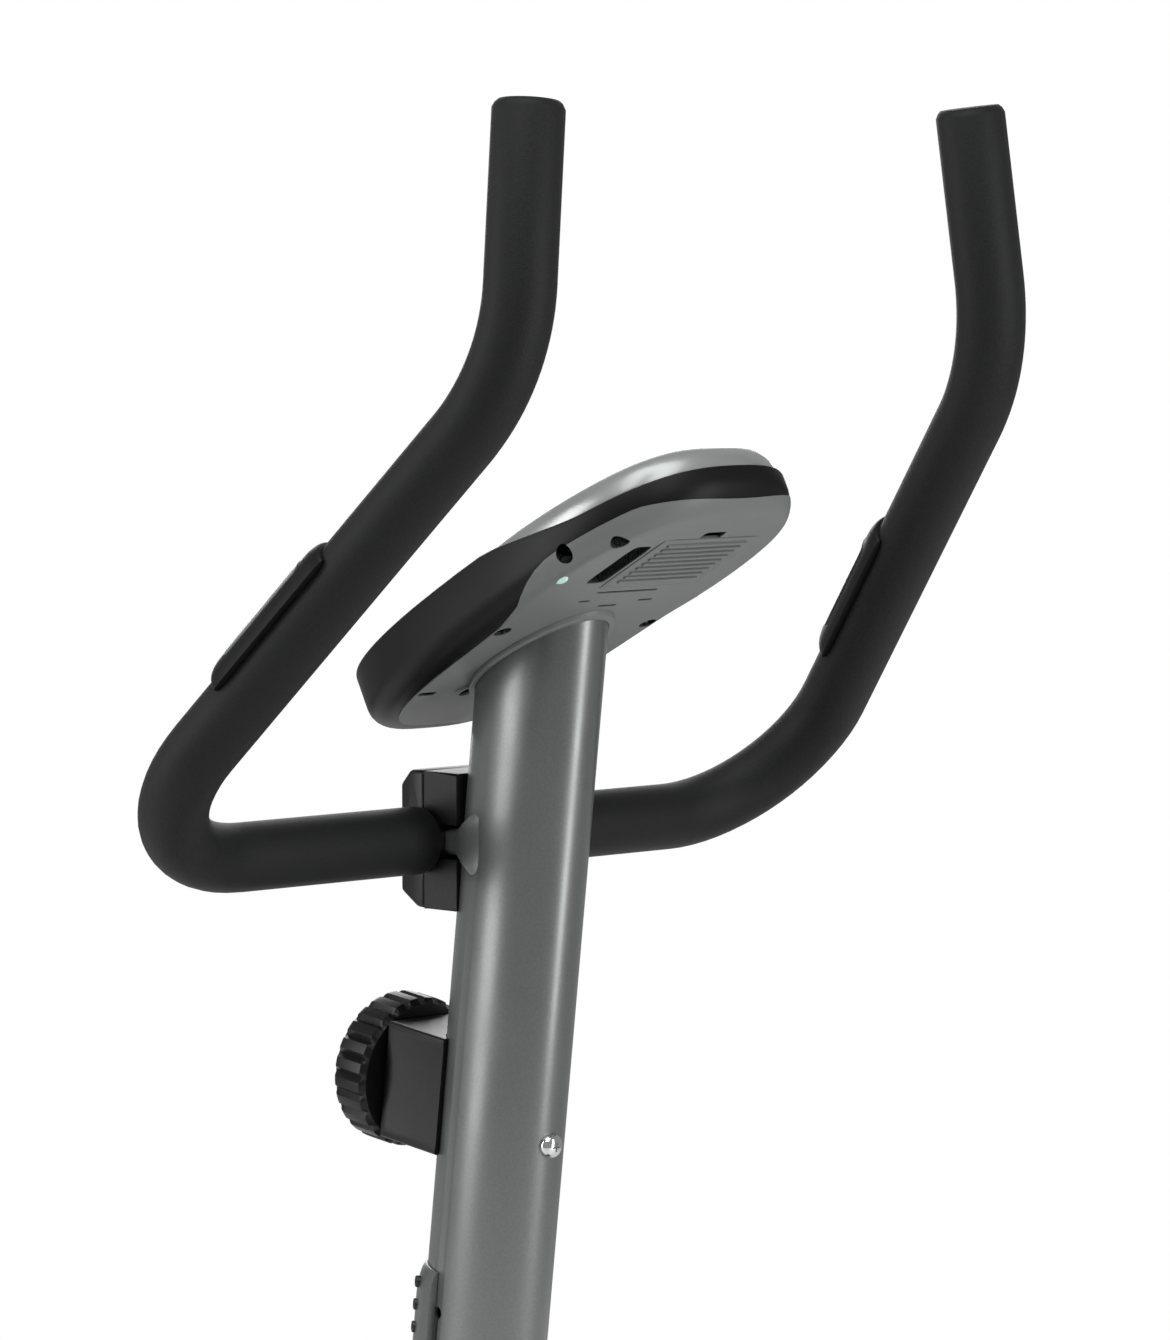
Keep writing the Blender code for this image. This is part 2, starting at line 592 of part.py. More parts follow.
# ---------------------------------------------------------------- pedals
def pedal(word, side):
    centre = CRANK + Vector((side * (PEDAL_INNER + PEDAL_LENGTH / 2), -side * CRANK_LENGTH, 0))
    half = Vector((PEDAL_LENGTH / 2, PEDAL_DEPTH / 2, PEDAL_HEIGHT / 2))
    outline = rounded_rectangle(half.x, half.y, 0.014)
    matrix = Matrix.Translation(centre)
    body = place("pedal_" + word, extruded(outline, -half.z, half.z), BLACK_PLASTIC, matrix)
    bore = cylinder(PEDAL_SPINDLE_RADIUS + GAP, -0.1, 0.1, 12)
    boolean(body, helper("pedal_bore_" + word, bore, across(centre)))
    start = CRANK_INNER + 0.001
    end = PEDAL_INNER + PEDAL_LENGTH - 0.004
    low, high = sorted((side * start, side * end))
    spindle = cylinder(PEDAL_SPINDLE_RADIUS, low, high, 12)
    spindle_place = across((0, centre.y, centre.z))
    place("pedal_spindle_" + word, spindle, STEEL, spindle_place, CRANK)

    def arch(growth):
        return lambda angle: (
            math.copysign((half.x + 0.002 + growth) * abs(math.cos(angle)) ** 0.4, math.cos(angle)),
            (STRAP_HEIGHT + growth) * math.sin(angle) ** 0.8,
        )

    band = sector(arch(0), arch(STRAP_THICK), 0, math.pi, 11)
    forward = Vector((0, -1, 0))
    upright = frame(centre + forward * STRAP_FORWARD, X_AXIS, Vector((0, 0, 1)), forward)
    strap = extruded(band, -STRAP_WIDTH / 2, STRAP_WIDTH / 2)
    place("pedal_strap_" + word, strap, RUBBER, upright, centre)


# ---------------------------------------------------------------- seat
def seat_post():
    top = on_seat_tube(SEAT_TUBE_TOP_Z)
    matrix = frame(top, X_AXIS, SEAT_REAR, SEAT_UP)
    outer = ellipse(POST_RADIUS, POST_RADIUS, 18)
    inner = ellipse(POST_RADIUS - WALL, POST_RADIUS - WALL, 18)
    ends = [Vector((0, 0, -POST_BELOW)), Vector((0, 0, POST_ABOVE))]
    post = place("seat_post", tube(ends, outer, inner), CHROME, matrix)
    hole_frame = frame(Vector((0, 0, 0)), X_AXIS, Vector((0, 0, -1)), Vector((0, 1, 0)))
    for step in range(-2, 3):
        hole = cylinder(0.0055, 0.010, 0.030, 8)
        height = Matrix.Translation((0, 0, -PIN_DROP - step * POST_HOLE_STEP))
        boolean(post, helper(f"post_hole_{step}", hole, matrix @ height @ hole_frame))

    bore, body, flange = POST_RADIUS + GAP, SEAT_TUBE_RADIUS - WALL - GAP, SEAT_TUBE_RADIUS + 0.001
    profile = [
        (bore, -BUSH_LENGTH), (body, -BUSH_LENGTH), (body, GAP), (flange, GAP),
        (flange, 0.004), (flange - 0.003, 0.0055), (bore, 0.0055),
    ]
    bush = place("seat_post_bush", turned(profile, 20, closed=True), BLACK_PLASTIC, matrix)
    pin_frame = frame(top - SEAT_UP * PIN_DROP, X_AXIS, -SEAT_UP, SEAT_REAR)
    boolean(bush, helper("bush_pin_hole", cylinder(0.0050, 0.010, 0.1, 12), pin_frame))

    start = POST_RADIUS + 0.0006
    boss_end = SEAT_TUBE_RADIUS + 0.014 + GAP
    profile = [
        (0, start), (0.0047, start), (0.0047, boss_end), (0.0120, boss_end), (0.0120, boss_end + 0.012),
        (0.0215, boss_end + 0.016), (0.0235, boss_end + 0.022), (0.0235, boss_end + 0.034),
        (0.0200, boss_end + 0.040), (0, boss_end + 0.042),
    ]
    place("seat_pin_knob", turned(profile, 20), BLACK_PLASTIC, pin_frame)


def saddle_pivot():
    top = on_seat_tube(SEAT_TUBE_TOP_Z)
    return top + SEAT_UP * (POST_ABOVE + SADDLE_PIVOT_RISE)


def saddle_clamp():
    """The collar on the post's top, with the cross tube that the saddle tilts on."""
    top = on_seat_tube(SEAT_TUBE_TOP_Z)
    matrix = frame(top, X_AXIS, SEAT_REAR, SEAT_UP)
    collar = cylinder(0.0235, POST_ABOVE - 0.026, POST_ABOVE + 0.010, 20)
    made = place("saddle_clamp", collar, BLACK_PAINT, matrix)
    cross = cylinder(0.0150, -0.030, 0.030, 16)
    boolean(made, helper("cross_tube", cross, across(saddle_pivot())), "UNION")
    bore = cylinder(POST_RADIUS + GAP, POST_ABOVE - 0.1, POST_ABOVE + GAP, 18)
    boolean(made, helper("collar_bore", bore, matrix))
    bolt_bore = cylinder(TILT_BOLT_RADIUS + GAP, -0.1, 0.1, 12)
    boolean(made, helper("tilt_bolt_bore", bolt_bore, across(saddle_pivot())))


def saddle_width(share):
    """Half the saddle's width at a share of its length, 0 at the nose and 1 at the back."""
    spread = 1 / (1 + math.exp(-(share - 0.50) * 11))
    end = math.sqrt(max(0.0, 1 - max(0.0, (share - 0.80) / 0.20) ** 2.6))
    nose = math.sqrt(max(0.0, 1 - max(0.0, (0.12 - share) / 0.12) ** 2.2))
    half = SADDLE_NOSE / 2 + (SADDLE_WIDTH - SADDLE_NOSE) / 2 * spread
    return half * max(0.30, end) * max(0.35, nose)


def saddle():
    pivot = saddle_pivot()
    underside = pivot.z + SADDLE_ABOVE
    front = pivot.y - SADDLE_AHEAD
    sections = []
    count = 12
    for step in range(count + 1):
        share = step / count
        half = saddle_width(share)
        y = front + SADDLE_LENGTH * share
        lift = 0.010 * (share - 0.5) ** 2 * 4
        edge = min(1.0, 8 * share + 0.45, 6 * (1 - share) + 0.5)
        thick = SADDLE_THICK * edge
        section = []
        for x, z in ((1, 0.18), (0.96, 0.55), (0.72, 0.88), (0.32, 0.97), (0, 0.93)):
            section.append((half * x, y, underside + lift + thick * z))
        section += [(-x, y_, z) for x, y_, z in reversed(section[:-1])]
        section += [(-half * 0.9, y, underside), (half * 0.9, y, underside)]
        sections.append(section)
    place("saddle", loft(sections), VINYL, Matrix(), pivot)

    plate_top = underside - GAP
    plate = box((-0.038, pivot.y - 0.060, plate_top - 0.004), (0.038, pivot.y + 0.090, plate_top))
    made = place("saddle_pan", plate, BLACK_PAINT, Matrix(), pivot)
    for side, word in ((1, "left"), (-1, "right")):
        feet_of_ear = [(pivot.y + reach, plate_top, 0.003) for reach in (-0.018, 0.018)]
        discs = [(pivot.y, pivot.z, 0.013), *feet_of_ear]
        low, high = sorted((side * SADDLE_EAR_X, side * (SADDLE_EAR_X + SADDLE_EAR_THICK)))
        ear = extruded(hull_of_discs(discs, 20), low, high)
        trim = box((-0.1, -1, plate_top - 0.001), (0.1, 1, plate_top + 0.1))
        ear_tool = helper("saddle_ear_" + word, ear, across((0, 0, 0)))
        boolean(ear_tool, helper("ear_trim_" + word, trim))
        boolean(made, ear_tool, "UNION")
    bolt_bore = cylinder(TILT_BOLT_RADIUS + GAP, -0.1, 0.1, 12)
    boolean(made, helper("pan_bolt_bore", bolt_bore, across(pivot)))
    ear_outside = SADDLE_EAR_X + SADDLE_EAR_THICK + GAP
    radius, head, nut = TILT_BOLT_RADIUS, 0.0080, 0.0068
    profile = [
        (0, -ear_outside - 0.006), (nut, -ear_outside - 0.006), (nut, -ear_outside), (radius, -ear_outside),
        (radius, ear_outside), (head, ear_outside), (head, ear_outside + 0.005), (0, ear_outside + 0.006),
    ]
    place("saddle_tilt_bolt", turned(profile, 12), STEEL, across(pivot))


# ---------------------------------------------------------------- mast and tension knob
def mast():
    outer = ellipse(MAST_HALF_X, MAST_HALF_Y, 28)
    inner = ellipse(MAST_HALF_X - WALL, MAST_HALF_Y - WALL, 28)
    low, high = (MAST_BOTTOM_Z - 0.950) / MAST_UP.z, 0.140
    ends = [Vector((0, 0, low)), Vector((0, 0, high))]
    made = place("mast", tube(ends, outer, inner), GREY_PAINT, mast_frame(0.950))
    plate = -CONSOLE_BACK_DEPTH - GAP
    above = box((-0.2, -0.2, plate), (0.2, 0.2, 0.2))
    boolean(made, helper("above_plate", above, CONSOLE_FRAME))
    boolean(made, helper("screw_passage", cylinder(0.0034, -0.1, 0.1, 10), screw_frame()))
    hole = cylinder(0.0045, 0, 0.1, 10)
    entry = frame(CABLE_ENTRY + X_AXIS * CABLE_X, X_AXIS, -MAST_UP, MAST_REAR)
    boolean(made, helper("cable_entry_hole", hole, entry))

    def arc(growth):
        return lambda angle: (
            (MAST_HALF_X + growth) * math.cos(angle), (MAST_HALF_Y + growth) * math.sin(angle)
        )

    band = sector(arc(GAP), arc(BACKING_THICK), 0.0, math.pi, 14)
    low = (BACKING_BOTTOM_Z - 0.950) / MAST_UP.z
    high = (BACKING_TOP_Z - 0.950) / MAST_UP.z
    place("mast_backing_plate", extruded(band, low, high), GREY_PAINT, mast_frame(0.950))


def screw_frame():
    """At the mast's axis, below the knob, with local Z to the rear."""
    return frame(on_mast(KNOB_Z) - MAST_UP * KNOB_SCREW_DROP, X_AXIS, -MAST_UP, MAST_REAR)


def tension_knob():
    matrix = frame(on_mast(KNOB_Z), X_AXIS, -MAST_UP, MAST_REAR)
    rear = MAST_HALF_Y + KNOB_BASE.y
    low = (-KNOB_BASE.x / 2, -KNOB_BASE.z / 2, 0)
    high = (KNOB_BASE.x / 2, KNOB_BASE.z / 2, rear)
    base = place("tension_knob_base", box(low, high, 0.005), BLACK_PLASTIC, matrix)
    boolean(base, mast_solid("mast_in_base", GAP))
    boolean(base, helper("in_front_of_base", box((-0.1, -0.1, -0.1), (0.1, 0.1, 0.020)), matrix))
    boolean(base, helper("knob_bore", cylinder(0.0083, rear - 0.014, rear + 0.02, 14), matrix))
    boolean(base, helper("screw_bore", cylinder(0.0034, -0.1, rear - 0.006, 10), screw_frame()))
    cable_bore = cylinder(0.0040, 0, MAST_HALF_Y + 0.009, 10)
    entry = frame(CABLE_ENTRY + X_AXIS * CABLE_X, X_AXIS, -MAST_UP, MAST_REAR)
    boolean(base, helper("cable_bore", cable_bore, entry))

    outline = []
    for step in range(KNOB_LOBES * 4):
        shrink = (0, 0, 0.0022, 0.0022)[step % 4]
        angle = math.tau * step / (KNOB_LOBES * 4)
        reach = KNOB_RADIUS - shrink
        outline.append((reach * math.cos(angle), reach * math.sin(angle)))

    def scaled(factor, z):
        return [(x * factor, y * factor, z) for x, y in outline]

    start = rear + 0.001
    loops = [
        scaled(0.20, rear - 0.012), scaled(0.20, start), scaled(0.97, start), scaled(1, start + 0.002),
        scaled(1, start + KNOB_THICK - 0.004), scaled(0.92, start + KNOB_THICK),
    ]
    place("tension_knob", loft(loops), BLACK_PLASTIC, matrix)

    front = -MAST_HALF_Y - GAP
    profile = [
        (0, rear - 0.008), (0.0030, rear - 0.008), (0.0030, front), (0.0062, front),
        (0.0056, front - 0.0025), (0.0030, front - 0.0042), (0, front - 0.0046),
    ]
    place("knob_base_screw", turned(profile, 14), CHROME, screw_frame())


def smooth_curve(route, steps):
    """Points of a Catmull-Rom curve through the route's own points."""
    ends = [route[0] * 2 - route[1], *route, route[-1] * 2 - route[-2]]
    points = []
    for a, b, c, d in zip(ends, ends[1:], ends[2:], ends[3:]):
        for step in range(steps):
            t = step / steps
            slope, curve, twist = c - a, 2 * a - 5 * b + 4 * c - d, 3 * b - a - 3 * c + d
            points.append(0.5 * (2 * b + slope * t + curve * t**2 + twist * t**3))
    return points + [route[-1]]


def tension_cable():
    """The brake cable: out of the knob's base, down inside the mast, out of the stub, to the brake."""
    end_y, end_z = on_flywheel(BRAKE_FROM + 0.04, 0.1290)
    side = X_AXIS * CABLE_X
    route = [
        CABLE_ENTRY + side + MAST_REAR * (MAST_HALF_Y + 0.008),
        CABLE_ENTRY + side + MAST_REAR * (MAST_HALF_Y - 0.003),
        CABLE_ENTRY + side + MAST_REAR * 0.020 - MAST_UP * 0.006,
        CABLE_ENTRY + side + MAST_REAR * 0.004 - MAST_UP * 0.035,
        on_mast(0.700) + side,
        on_mast(0.520) + side,
        CABLE_EXIT + MAST_UP * 0.026 + side * 0.3 - MAST_REAR * 0.006,
        CABLE_EXIT - MAST_REAR * 0.037 - MAST_UP * 0.008,
        Vector((0, end_y + 0.004, end_z + 0.016)),
        Vector((0, end_y, end_z)),
    ]
    data = bpy.data.curves.new("tension_cable", "CURVE")
    data.dimensions = "3D"
    data.bevel_depth = 0.0022
    data.bevel_resolution = 2
    data.use_fill_caps = True
    points = smooth_curve(route, 3)
    spline = data.splines.new("POLY")
    spline.points.add(len(points) - 1)
    for slot, point in zip(spline.points, points):
        slot.co = (*point, 1)
    data.materials.append(BLACK_PLASTIC)
    cable = bpy.data.objects.new("tension_cable", data)
    bpy.context.scene.collection.objects.link(cable)


# ---------------------------------------------------------------- handlebar
def bar_half():
    """The +X half of the bar's centre line, counted from the bar's centre, ending at its tip."""
    corners = [Vector((0, 0, 0)), BAR_CORNER, BAR_UPPER_BEND, BAR_TIP]
    return bent_path(corners, BAR_BEND_RADII, 4)


def handlebar():
    matrix = Matrix.Translation(BAR_CENTRE)
    half = bar_half()
    path = mirrored(half)[:-1] + half[1:]
    outer = ellipse(BAR_RADIUS, BAR_RADIUS, 10)
    inner = ellipse(BAR_RADIUS - BAR_WALL, BAR_RADIUS - BAR_WALL, 10)
    place("handlebar", tube(path, outer, inner, Vector((0, 0, 1))), BLACK_PAINT, matrix)
    for side, word in ((1, "left"), (-1, "right")):
        path = [Vector((GRIP_START, 0, 0))] + half[1:]
        beyond = BAR_TIP + (BAR_TIP - BAR_UPPER_BEND).normalized() * (GRIP_END_WALL + GAP)
        last_step = (BAR_TIP - BAR_UPPER_BEND).normalized() * GAP
        outside_path = path[:-1] + [beyond - last_step * 10, beyond]
        inside_path = path[:-1] + [BAR_TIP + last_step]
        bore = BAR_RADIUS + 3 * GAP
        upright, end_radius = Vector((0, 0, 1)), GRIP_RADIUS - GRIP_END_WALL
        outside = sections_along(outside_path, ellipse(GRIP_RADIUS, GRIP_RADIUS, 12), upright)
        outside[-1] = sections_along(outside_path, ellipse(end_radius, end_radius, 12), upright)[-1]
        inside = sections_along(inside_path, ellipse(bore, bore, 12), upright)
        mesh = loft(inside[::-1] + outside)
        if side < 0:
            bmesh.ops.scale(mesh, vec=(-1, 1, 1), verts=mesh.verts)
            bmesh.ops.reverse_faces(mesh, faces=mesh.faces)
        place("grip_" + word, mesh, FOAM, matrix)
        pulse_sensor("pulse_sensor_" + word, side)


def pulse_sensor(name, side):
    """A half sleeve on the rear and upper side of the arm, where the palm rests."""
    along = (BAR_UPPER_BEND - BAR_CORNER).normalized()
    upper = Vector((0, -along.z, along.y)).normalized()
    if upper.z < 0:
        upper = -upper
    upper = (upper - along * upper.dot(along)).normalized()
    flank = upper.cross(along)

    def arc(radius):
        return lambda angle: (radius * math.cos(angle), radius * math.sin(angle))

    def loop(distance, radius):
        band = sector(arc(GRIP_RADIUS + GAP), arc(radius), math.radians(8), math.radians(172), 10)
        centre = BAR_CORNER + along * distance
        return [centre + flank * x + upper * y for x, y in band]

    low = GRIP_RADIUS + 0.0012
    loops = [
        loop(SENSOR_FROM, low), loop(SENSOR_FROM + 0.006, SENSOR_RADIUS),
        loop(SENSOR_TO - 0.006, SENSOR_RADIUS), loop(SENSOR_TO, low),
    ]
    mesh = loft(loops)
    if side < 0:
        bmesh.ops.scale(mesh, vec=(-1, 1, 1), verts=mesh.verts)
        bmesh.ops.reverse_faces(mesh, faces=mesh.faces)
    place(name, mesh, BLACK_PLASTIC, Matrix.Translation(BAR_CENTRE))


def handlebar_clamp():
    """The saddle block on the mast and the cap that two bolts draw onto it, round the bare bar."""
    matrix = Matrix.Translation(BAR_CENTRE)
    x, z = CLAMP_HALF_X, CLAMP_HALF_Z
    base_box = box((-x, -0.045, -z), (x, -GAP, z), 0.003)
    base = place("handlebar_clamp_base", base_box, BLACK_PLASTIC, matrix)
    boolean(base, mast_solid("mast_in_clamp", GAP))
    boolean(base, helper("clamp_front_trim", box((-0.1, -0.1, -0.1), (0.1, -0.0235, 0.1)), matrix))
    cap_box = box((-x, GAP, -z), (x, CLAMP_REAR, z), 0.004)
    cap = place("handlebar_clamp_cap", cap_box, BLACK_PLASTIC, matrix)
    bar = cylinder(BAR_RADIUS + GAP, -0.1, 0.1, 24)
    bar_tool = helper("bar_shape", bar, across(BAR_CENTRE))
    boolean(base, bar_tool)
    boolean(cap, bar_tool)
    for word, height in (("upper", CLAMP_BOLT_Z), ("lower", -CLAMP_BOLT_Z)):
        centre = BAR_CENTRE + Vector((0, 0, height))
        backwards = frame(centre, X_AXIS, Vector((0, 0, -1)), Vector((0, 1, 0)))
        bore = helper("clamp_bore_" + word, cylinder(0.0044, -0.05, 0.05, 10), backwards)
        boolean(base, bore)
        boolean(cap, bore)
        head = CLAMP_REAR + GAP
        profile = [
            (0, -0.0085), (0.0040, -0.0085), (0.0040, head), (0.0068, head), (0.0068, head + 0.003),
            (0.0045, head + 0.0048), (0, head + 0.0052),
        ]
        place("clamp_bolt_" + word, turned(profile, 14), STEEL, backwards)


# ---------------------------------------------------------------- console
def console_loop(scale, z, inset=0.0):
    half_x, half_y = CONSOLE_HALF_X * scale - inset, CONSOLE_HALF_Y * scale - inset
    return [(x, y, z) for x, y in ellipse(half_x, half_y, 28, CONSOLE_POWER, CONSOLE_TAPER)]


def plate_loop(inset, z):
    outline = ellipse(PLATE_HALF_X - inset, PLATE_HALF_Y - inset, 28, 3.6, 0.10)
    return [(x, y + PLATE_SHIFT, z) for x, y in outline]


def console():
    deep, wall = -CONSOLE_BACK_DEPTH, CONSOLE_WALL
    loops = [
        plate_loop(wall, deep + wall), console_loop(1, -0.004, wall), console_loop(1, 0, wall),
        console_loop(1, 0), console_loop(1, -0.005), plate_loop(-0.0015, deep + 0.003), plate_loop(0, deep),
    ]
    back = place("console_back", loft(loops), BLACK_PLASTIC, CONSOLE_FRAME)
    door_half = DOOR_SIZE / 2
    pocket = box((-door_half.x, -door_half.y, -0.01), (door_half.x, door_half.y, 0.0016))
    at_plate = CONSOLE_FRAME @ Matrix.Translation((DOOR_PLACE.x, DOOR_PLACE.y, deep))
    boolean(back, helper("door_pocket", pocket, at_plate))
    inset = GAP
    low = (-door_half.x + inset, -door_half.y + inset, -0.0008)
    high = (door_half.x - inset, door_half.y - inset, 0.0013)
    place("battery_door", box(low, high), BLACK_PLASTIC, at_plate)

    tall = CONSOLE_FRONT_DEPTH
    loops = [
        console_loop(0.88, tall - wall, wall), console_loop(1, 0.006, wall), console_loop(1, GAP, wall),
        console_loop(1, GAP), console_loop(1, 0.004), console_loop(0.975, 0.0125),
        console_loop(0.93, 0.0168), console_loop(0.87, tall),
    ]
    front = place("console_front", loft(loops), SILVER_PLASTIC, CONSOLE_FRAME)
    half = LENS_SIZE / 2
    outline = rounded_rectangle(half.x, half.y, 0.012)
    at_lens = CONSOLE_FRAME @ Matrix.Translation((0, LENS_Y, 0))
    boolean(front, helper("lens_pocket", extruded(outline, tall - 0.0016, 0.05), at_lens))
    outline = rounded_rectangle(half.x - GAP, half.y - GAP, 0.012 - GAP)
    place("console_lens", extruded(outline, tall - 0.0013, tall + 0.0002), LENS, at_lens)
    at_button = CONSOLE_FRAME @ Matrix.Translation((0, BUTTON_Y, 0))
    hole = cylinder(BUTTON_RADIUS + GAP, 0, 0.05, 20)
    boolean(front, helper("button_hole", hole, at_button))
    radius = BUTTON_RADIUS
    profile = [
        (0, 0.0065), (radius, 0.0065), (radius, tall + 0.001), (radius - 0.002, tall + 0.0022),
        (0, tall + 0.0026),
    ]
    place("console_button", turned(profile, 20), SILVER_PLASTIC, at_button)


# ---------------------------------------------------------------- build
BLACK_PAINT = material("black_paint", (0.015, 0.015, 0.016), 0.38)
GREY_PAINT = material("grey_paint", (0.16, 0.165, 0.165), 0.30, 0.6)
BLACK_PLASTIC = material("black_plastic", (0.018, 0.018, 0.018), 0.50)
SILVER_PLASTIC = material("silver_plastic", (0.35, 0.36, 0.36), 0.35, 0.3)
RUBBER = material("rubber", (0.02, 0.02, 0.02), 0.75)
FOAM = material("foam", (0.018, 0.018, 0.018), 0.85)
VINYL = material("vinyl", (0.02, 0.02, 0.02), 0.55)
STEEL = material("steel", (0.45, 0.45, 0.46), 0.35, 1.0)
CHROME = material("chrome", (0.75, 0.75, 0.76), 0.12, 1.0)
CAST_IRON = material("cast_iron", (0.20, 0.20, 0.21), 0.45, 1.0)
LENS = material("lens", (0.05, 0.06, 0.05), 0.10)
HELPER = material("helper", (1, 0, 1), 0.5)

CABLE_X = 0.010
CABLE_ENTRY = on_mast(0.838)
CABLE_EXIT = on_mast(0.440)

AXLE_OPENING = helper("axle_opening", cylinder(0.024, -0.1, 0.1, 28), across(CRANK))
MAST_OPENING = helper(
    "mast_opening",
    extruded(ellipse(MAST_HALF_X + 0.0015, MAST_HALF_Y + 0.0015, 28), -0.02, 0.15),
    mast_frame(0.560),
)
BEAM_OPENING = helper("beam_opening", box((-0.0258, -0.6, 0), (0.0258, 0.6, BEAM_TOP + 0.0008)))
BRACE_OPENING = helper(
    "brace_opening", box((-0.0135, 0.08, CRANK.z - 0.016), (0.0135, 0.20, CRANK.z + 0.016))
)

feet()
base_beam()
mast_stub()
seat_tube()
crank_bracket()
flywheel_bracket()
crank_set()
drive_belt()
flywheel()
brake()
housing_half("housing_left", 1)
housing_half("housing_right", -1)
pedal("left", 1)
pedal("right", -1)
seat_post()
saddle_clamp()
saddle()
mast()
tension_knob()
tension_cable()
handlebar()
handlebar_clamp()
console()
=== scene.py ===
# %% [markdown]
# # An upright exercise bike
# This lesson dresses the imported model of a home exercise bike. The model holds the true sizes,
# the joints and the collision shapes. Here each visible piece gets its fine shape and its finish:
# the foam-covered handlebar, the painted oval mast, the moulded console, the enclosed drive, the
# pedals and the padded saddle. The rider faces -Y, and +X is the rider's left.

# %% Load the frame
import json
import math

import bmesh
import bpy
from mathutils import Matrix, Vector
from mathutils.kdtree import KDTree


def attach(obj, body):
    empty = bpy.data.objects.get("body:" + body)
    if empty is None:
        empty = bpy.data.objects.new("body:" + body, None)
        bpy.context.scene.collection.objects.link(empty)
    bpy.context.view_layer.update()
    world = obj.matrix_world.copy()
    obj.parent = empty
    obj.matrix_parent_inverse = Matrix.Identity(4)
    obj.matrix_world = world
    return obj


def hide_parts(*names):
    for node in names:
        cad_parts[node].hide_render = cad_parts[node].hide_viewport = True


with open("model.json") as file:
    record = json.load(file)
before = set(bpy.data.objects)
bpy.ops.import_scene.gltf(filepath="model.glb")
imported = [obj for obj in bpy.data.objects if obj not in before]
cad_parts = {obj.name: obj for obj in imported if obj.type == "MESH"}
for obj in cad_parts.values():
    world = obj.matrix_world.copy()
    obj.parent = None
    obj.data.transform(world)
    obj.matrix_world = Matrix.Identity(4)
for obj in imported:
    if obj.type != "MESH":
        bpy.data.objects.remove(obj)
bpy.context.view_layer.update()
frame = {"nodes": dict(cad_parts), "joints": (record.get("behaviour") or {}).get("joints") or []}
JOINTS = {joint["name"]: joint for joint in frame["joints"]}
print("nodes:", len(frame["nodes"]), "joints:", len(JOINTS))

# %% [markdown]
# The bike is symmetric about X = 0, so most places are a height and a depth. Three groups are
# tilted: the mast, the seat tube and the console. Their directions come from the joints that
# move along them, so they can't disagree with the frame.

# %% Directions and centres
X_AXIS, Y_AXIS, Z_AXIS = Vector((1, 0, 0)), Vector((0, 1, 0)), Vector((0, 0, 1))
SIDES = ((1, "left"), (-1, "right"))


def joint_place(name):
    return Vector(JOINTS[name]["pos_m"])


def joint_axis(name):
    return Vector(JOINTS[name]["axis"])


BAR = joint_place("handlebar_tilt")
MAST_POINT = joint_place("tension_knob_turn")
MAST_REAR = joint_axis("tension_knob_turn")
MAST_UP = X_AXIS.cross(MAST_REAR)
CONSOLE_OUT = -joint_axis("button_press")
CONSOLE_DOWN = CONSOLE_OUT.cross(X_AXIS)
CONSOLE_CENTRE = Vector((0, -0.291, 1.075))
SEAT_UP, SEAT_REAR = joint_axis("seat_height"), joint_axis("seat_pin_pull")
SADDLE_PIVOT = joint_place("saddle_tilt")
CRANK = joint_place("crank_spin")


def axes(origin, x, y, z):
    """The matrix that puts a piece modelled at the origin on these axes."""
    return Matrix.Translation(origin) @ Matrix((x, y, z)).transposed().to_4x4()


def across(origin):
    """Local Z becomes the bike's X, for what turns with the cranks and wheels."""
    return axes(origin, Y_AXIS, Z_AXIS, X_AXIS)


def outward(origin, side):
    """Local Z points out of the left side, 1, or the right side, -1."""
    return axes(origin, Y_AXIS * side, Z_AXIS, X_AXIS * side)


def rearward(origin):
    return axes(origin, X_AXIS, -Z_AXIS, Y_AXIS)


def shift(x=0.0, y=0.0, z=0.0):
    return Matrix.Translation((x, y, z))


def on_mast(height):
    """The point of the mast's axis at a height above the floor."""
    return MAST_POINT + MAST_UP * ((height - MAST_POINT.z) / MAST_UP.z)


def on_seat_post(height):
    return SADDLE_PIVOT + SEAT_UP * ((height - SADDLE_PIVOT.z) / SEAT_UP.z)


CONSOLE = axes(CONSOLE_CENTRE, X_AXIS, CONSOLE_DOWN, CONSOLE_OUT)
print("mast leans", round(math.degrees(math.asin(MAST_REAR.z)), 2), "degrees forward")

# %% [markdown]
# Colours are written as the sRGB hex values that a paint chart gives, and one function turns
# them to the linear values that the shader works in. One more function adds a node with its
# settings and links, so each finish below reads as a short recipe.

# %% Colour and node helpers
def linear(hex_colour):
    channels = [int(hex_colour[i : i + 2], 16) / 255 for i in (1, 3, 5)]
    curved = [c / 12.92 if c <= 0.04045 else ((c + 0.055) / 1.055) ** 2.4 for c in channels]
    return (*curved, 1)


def add_node(tree, kind, inputs, **settings):
    """Adds a node. An input takes a value, or the socket that feeds it."""
    node = tree.nodes.new("ShaderNode" + kind)
    for name, value in settings.items():
        setattr(node, name, value)
    for name, value in inputs.items():
        if isinstance(value, bpy.types.NodeSocket):
            tree.links.new(value, node.inputs[name])
        else:
            node.inputs[name].default_value = value
    return node


def pattern(tree, kind, scale, inputs, output, **settings):
    """A texture that is fixed to the piece. The result is its output socket."""
    place = add_node(tree, "TexCoord", {})
    inputs = {"Vector": place.outputs["Object"], "Scale": scale, **inputs}
    return add_node(tree, kind, inputs, **settings).outputs[output]


def grain(tree, size, detail):
    """Noise whose lumps are about size across, in metres."""
    return pattern(tree, "TexNoise", 0.5 / size, {"Detail": detail}, "Fac")


def ramp(tree, source, low, high, start=0.35, end=0.65):
    """Turns a 0 to 1 pattern into a blend between two colours or greys."""
    node = add_node(tree, "ValToRGB", {"Fac": source})
    for element, position, colour in zip(node.color_ramp.elements, (start, end), (low, high)):
        element.position = position
        element.color = colour
    return node.outputs["Color"]


def grey(value):
    return (value, value, value, 1)


